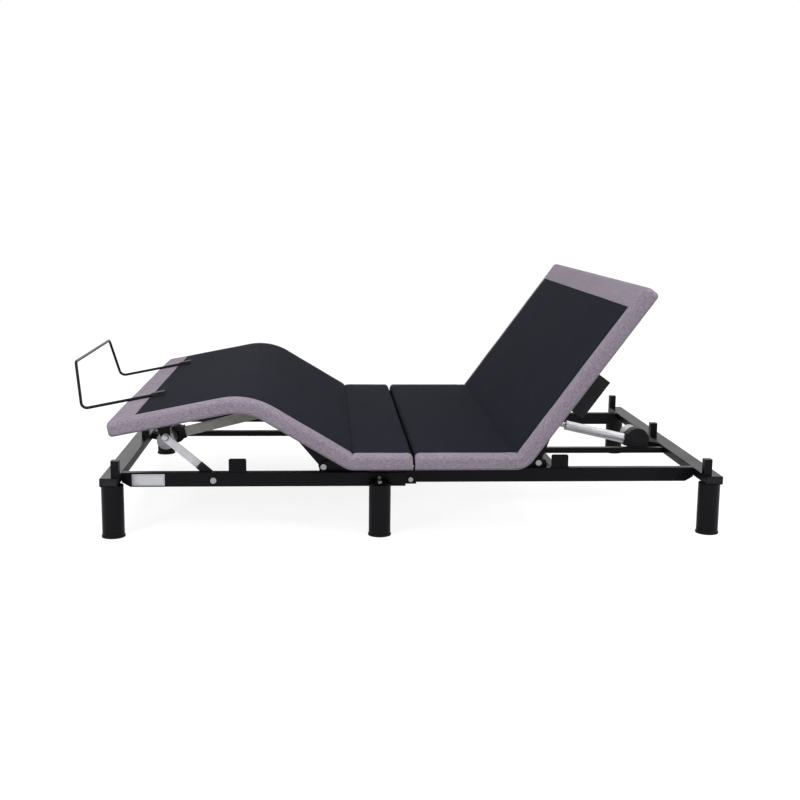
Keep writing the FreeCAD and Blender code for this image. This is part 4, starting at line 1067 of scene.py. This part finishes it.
@dataclass
class LinkSleeves:
    """Black moulded sleeves on the lower third of the two leg links.

    Attributes:
        start: the sleeve's start from the rail bolt, along the link.
        end: the sleeve's end.
        width: its width across the link.
        skin: how far it stands out over the plate.
        bend: how far the plate reaches past its pins, across the box.
        plate: the plate's thickness.
        round: the radius of the sleeve's edges.
        nut: the radius of the dome nut over the upper bolt.
        dome: the nut's height as a share of its radius.
    """

    start: float = 0.012
    end: float = 0.068
    width: float = 0.0285
    skin: float = 0.0016
    bend: float = 0.012
    plate: float = 0.006
    round: float = 0.0022
    nut: float = 0.0104
    dome: float = 0.22

    def build(self) -> None:
        """Makes a sleeve round each link, tilted as the links are."""
        spot = pivot("leg_link")
        low, high = (Vector(corner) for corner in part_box("leg_links"))
        tilt = math.atan2(high.z - spot.z - self.bend, spot.x - low.x - self.bend)
        plates = (("near", -1, (low.y, low.y + self.plate)), ("far", 1, (high.y - self.plate, high.y)))
        for name, side, plate in plates:
            mesh = slab((self.end - self.start, plate[1] - plate[0] + self.skin * 2, self.width))
            soften(mesh, mesh.edges[:], self.round, 3)
            bmesh.ops.translate(mesh, vec=(-(self.start + self.end) / 2, 0, 0), verts=mesh.verts)
            bmesh.ops.rotate(mesh, cent=(0, 0, 0), matrix=Matrix.Rotation(tilt, 3, "Y"), verts=mesh.verts)
            bmesh.ops.translate(mesh, vec=(spot.x, sum(plate) / 2, spot.z), verts=mesh.verts)
            sleeve = finished(mesh, f"link_sleeve_{name}")
            BLACK_PLASTIC.dress(sleeve)
            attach(sleeve, "leg_links")
            log.info("%s made on side %d", sleeve.name, side)
            self.cap(name, side)

    def cap(self, name: str, side: int) -> None:
        """Makes the zinc dome nut over a link's upper bolt.

        Args:
            name: near or far.
            side: which way the nut faces along the bed's width.
        """
        low, high = (Vector(corner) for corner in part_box("link_brackets"))
        face = low.y if side < 0 else high.y
        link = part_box("leg_links")
        middle = (link[0].x + self.bend + 0.001, face, link[1].z - self.bend - 0.001)
        mesh = bmesh.new()
        bmesh.ops.create_uvsphere(mesh, u_segments=28, v_segments=14, radius=self.nut)
        bmesh.ops.bisect_plane(mesh, geom=mesh.verts[:] + mesh.edges[:] + mesh.faces[:], dist=CUT_REACH,
                               plane_co=(0, side * 0.002, 0), plane_no=(0, -side, 0), clear_outer=True)
        bmesh.ops.scale(mesh, vec=(1, self.dome, 1), verts=mesh.verts)
        bmesh.ops.translate(mesh, vec=(middle[0], middle[1] - side * 0.0008, middle[2]), verts=mesh.verts)
        nut = finished(mesh, f"link_cap_{name}")
        LINK_PLATE.dress(nut)
        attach(nut, "leg_panel")


# ---------------------------------------------------------------- the hard parts


@dataclass
class Metalwork:
    """Every carried-over hard node, by the finish that it wears.

    Attributes:
        finishes: the finish of each material slot.
        special: the finish of single nodes that differ from their slot.
    """

    finishes: dict[str, Finish] = field(default_factory=lambda: {
        "black_frame": BLACK_FRAME, "zinc": ZINC, "gloss_leg": GLOSS_LEG, "rubber": RUBBER,
        "plywood": PLYWOOD, "pine": PINE, "black_plastic": BLACK_PLASTIC, "nylon": NYLON,
        "motor_can": MOTOR_CAN, "silver_tube": SILVER, "screw_steel": SCREW_STEEL,
        "upholstery": BORDER_CLOTH,
    })
    special: dict[str, Finish] = field(default_factory=lambda: {
        "foot_outer_tube": GREY_TUBE, "head_outer_tube": LINK_PLATE, "leg_links": LINK_PLATE,
    })

    def build(self) -> None:
        """Dresses each node in the finish of its material slot."""
        low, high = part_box("blank_label")
        self.finishes["label"] = BlankStock("label_stock", (0.78, 0.79, 0.86), 0.45, tuple(low), tuple(high))
        for part in frame["record"]["subparts"]:
            finish = self.special.get(part["node"], self.finishes[part["material_slot"]])
            finish.dress(frame["nodes"][part["node"]])
            log.info("%s wears %s", part["node"], finish.name)


# ---------------------------------------------------------------- the studio


@dataclass
class Studio:
    """A pale floor, soft lamps and the camera.

    Attributes:
        eye: where the camera stands.
        yaw: its turn towards the head end, in degrees.
        pitch: its downward tilt, in degrees.
        roll: its roll, in degrees.
        lens: its focal length in millimetres.
        sensor: its frame's width in millimetres.
        light: the world's strength as light.
        dark: its strength in reflections of the near side.
        turn: how far behind a reflection points, 0 to 1, where it sees the world at full strength.
        glow: the floor's own brightness to the eye.
        sheen: the share of that glow that reflections see.
        reach: half the floor's side.
    """

    eye: tuple[float, float, float] = (-0.2326, -4.3837, 1.0756)
    yaw: float = 3.78
    pitch: float = 9.48
    roll: float = 0.67
    lens: float = 52.59
    sensor: float = 36.0
    light: float = 0.5
    dark: float = 0.1
    turn: float = 0.6
    glow: float = 0.86
    sheen: float = 0.3
    reach: float = 30.0

    def camera(self) -> None:
        """Sets the camera up."""
        data = bpy.data.cameras.new("studio_camera")
        data.lens, data.sensor_width = self.lens, self.sensor
        yaw, pitch, roll = (math.radians(angle) for angle in (self.yaw, self.pitch, self.roll))
        ahead = Vector((math.sin(yaw) * math.cos(pitch), math.cos(yaw) * math.cos(pitch), -math.sin(pitch)))
        right = Vector((math.cos(yaw), -math.sin(yaw), 0.0))
        over = right.cross(ahead)
        turned = right * math.cos(roll) + over * math.sin(roll)
        lifted = over * math.cos(roll) - right * math.sin(roll)
        matrix = Matrix((turned, lifted, -ahead)).transposed().to_4x4()
        matrix.translation = Vector(self.eye)
        made = bpy.data.objects.new("studio_camera", data)
        made.matrix_world = matrix
        bpy.context.scene.collection.objects.link(made)
        bpy.context.scene.camera = made

    @staticmethod
    def lamp(name: str, spot: Sequence[float], aim: Sequence[float], size: float, power: float) -> None:
        """Hangs one square soft lamp.

        Args:
            name: the lamp's name.
            spot: where it hangs.
            aim: the point it faces.
            size: the length of its side.
            power: its power in watts.
        """
        data = bpy.data.lights.new(name, "AREA")
        data.size, data.energy = size, power
        made = bpy.data.objects.new(name, data)
        made.location = spot
        made.rotation_euler = (Vector(aim) - Vector(spot)).to_track_quat("-Z", "Y").to_euler()
        bpy.context.scene.collection.objects.link(made)

    def pale_world(self) -> None:
        """Makes a white world, softer as light; reflections see it bright behind and dark in front."""
        world = bpy.data.worlds.new("studio_world")
        world.use_nodes = True
        tree = world.node_tree
        path = tree.nodes.new("ShaderNodeLightPath").outputs
        seen = tree.nodes.new("ShaderNodeMath")
        seen.operation = "MAXIMUM"
        tree.links.new(path["Is Camera Ray"], seen.inputs[0])
        tree.links.new(path["Is Transmission Ray"], seen.inputs[1])
        strength = tree.nodes.new("ShaderNodeMapRange")
        strength.inputs["To Min"].default_value = self.light
        strength.inputs["To Max"].default_value = 1.0
        tree.links.new(seen.outputs[0], strength.inputs["Value"])
        facing = tree.nodes.new("ShaderNodeSeparateXYZ")
        tree.links.new(tree.nodes.new("ShaderNodeTexCoord").outputs["Generated"], facing.inputs[0])
        mirrored = tree.nodes.new("ShaderNodeMapRange")
        ends = {"From Min": 0.0, "From Max": self.turn, "To Min": self.dark, "To Max": 1.0}
        for name, value in ends.items():
            mirrored.inputs[name].default_value = value
        tree.links.new(facing.outputs["Y"], mirrored.inputs["Value"])
        blend = tree.nodes.new("ShaderNodeMix")
        tree.links.new(path["Is Glossy Ray"], blend.inputs[0])
        tree.links.new(strength.outputs[0], blend.inputs[2])
        tree.links.new(mirrored.outputs[0], blend.inputs[3])
        back = tree.nodes["Background"]
        back.inputs["Color"].default_value = (*WHITE, 1.0)
        tree.links.new(blend.outputs[0], back.inputs["Strength"])
        bpy.context.scene.world = world

    def floor(self) -> None:
        """Lays the pale floor, which keeps the object's shadow."""
        mesh = bmesh.new()
        bmesh.ops.create_grid(mesh, x_segments=4, y_segments=4, size=self.reach)
        made = finished(mesh, "studio_floor")
        graph = Graph("studio_floor_paint")
        graph.shader.inputs["Base Color"].default_value = (0.3, 0.3, 0.31, 1.0)
        graph.shader.inputs["Roughness"].default_value = 0.9
        graph.shader.inputs["Specular IOR Level"].default_value = 0.0
        path = graph.node("LightPath").outputs
        mirrored = graph.math("MULTIPLY", path["Is Glossy Ray"], self.sheen)
        seen = graph.math("MAXIMUM", graph.math("MAXIMUM", path["Is Camera Ray"], mirrored),
                          path["Is Transmission Ray"])
        graph.shader.inputs["Emission Color"].default_value = (*WHITE, 1.0)
        graph.drive("Emission Strength", graph.math("MULTIPLY", seen, self.glow))
        made.data.materials.append(graph.material)
        made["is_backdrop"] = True

    def build(self) -> None:
        """Builds the studio."""
        self.camera()
        self.pale_world()
        self.floor()
        self.lamp("key_lamp", (-1.2, -2.2, 3.6), (0.0, 0.0, 0.3), 2.6, 70.0)
        self.lamp("head_lamp", (3.2, -0.4, 2.6), (0.2, 0.0, 0.4), 2.2, 40.0)
        self.lamp("near_strip_lamp", (-2.6, -3.6, 1.2), (0.0, 0.0, 0.2), 0.9, 42.0)
        self.lamp("far_strip_lamp", (3.4, -3.0, 1.1), (0.2, 0.0, 0.2), 0.7, 34.0)
        self.lamp("back_lamp", (-0.6, 3.4, 3.0), (0.0, 0.0, 0.3), 2.6, 45.0)
        bpy.context.scene.view_settings.view_transform = "Standard"


def corners() -> list[list[float]]:
    """Returns the shown object's box as plain lists."""
    return [list(corner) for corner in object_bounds()]


def main() -> None:
    """Builds the bed base's looks in order."""
    logging.basicConfig(level=logging.INFO, format="%(message)s")
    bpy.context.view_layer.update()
    Metalwork().build()
    Deck().build()
    EndCaps().build()
    LinkSleeves().build()
    Studio().build()


if __name__ == "__main__":
    main()
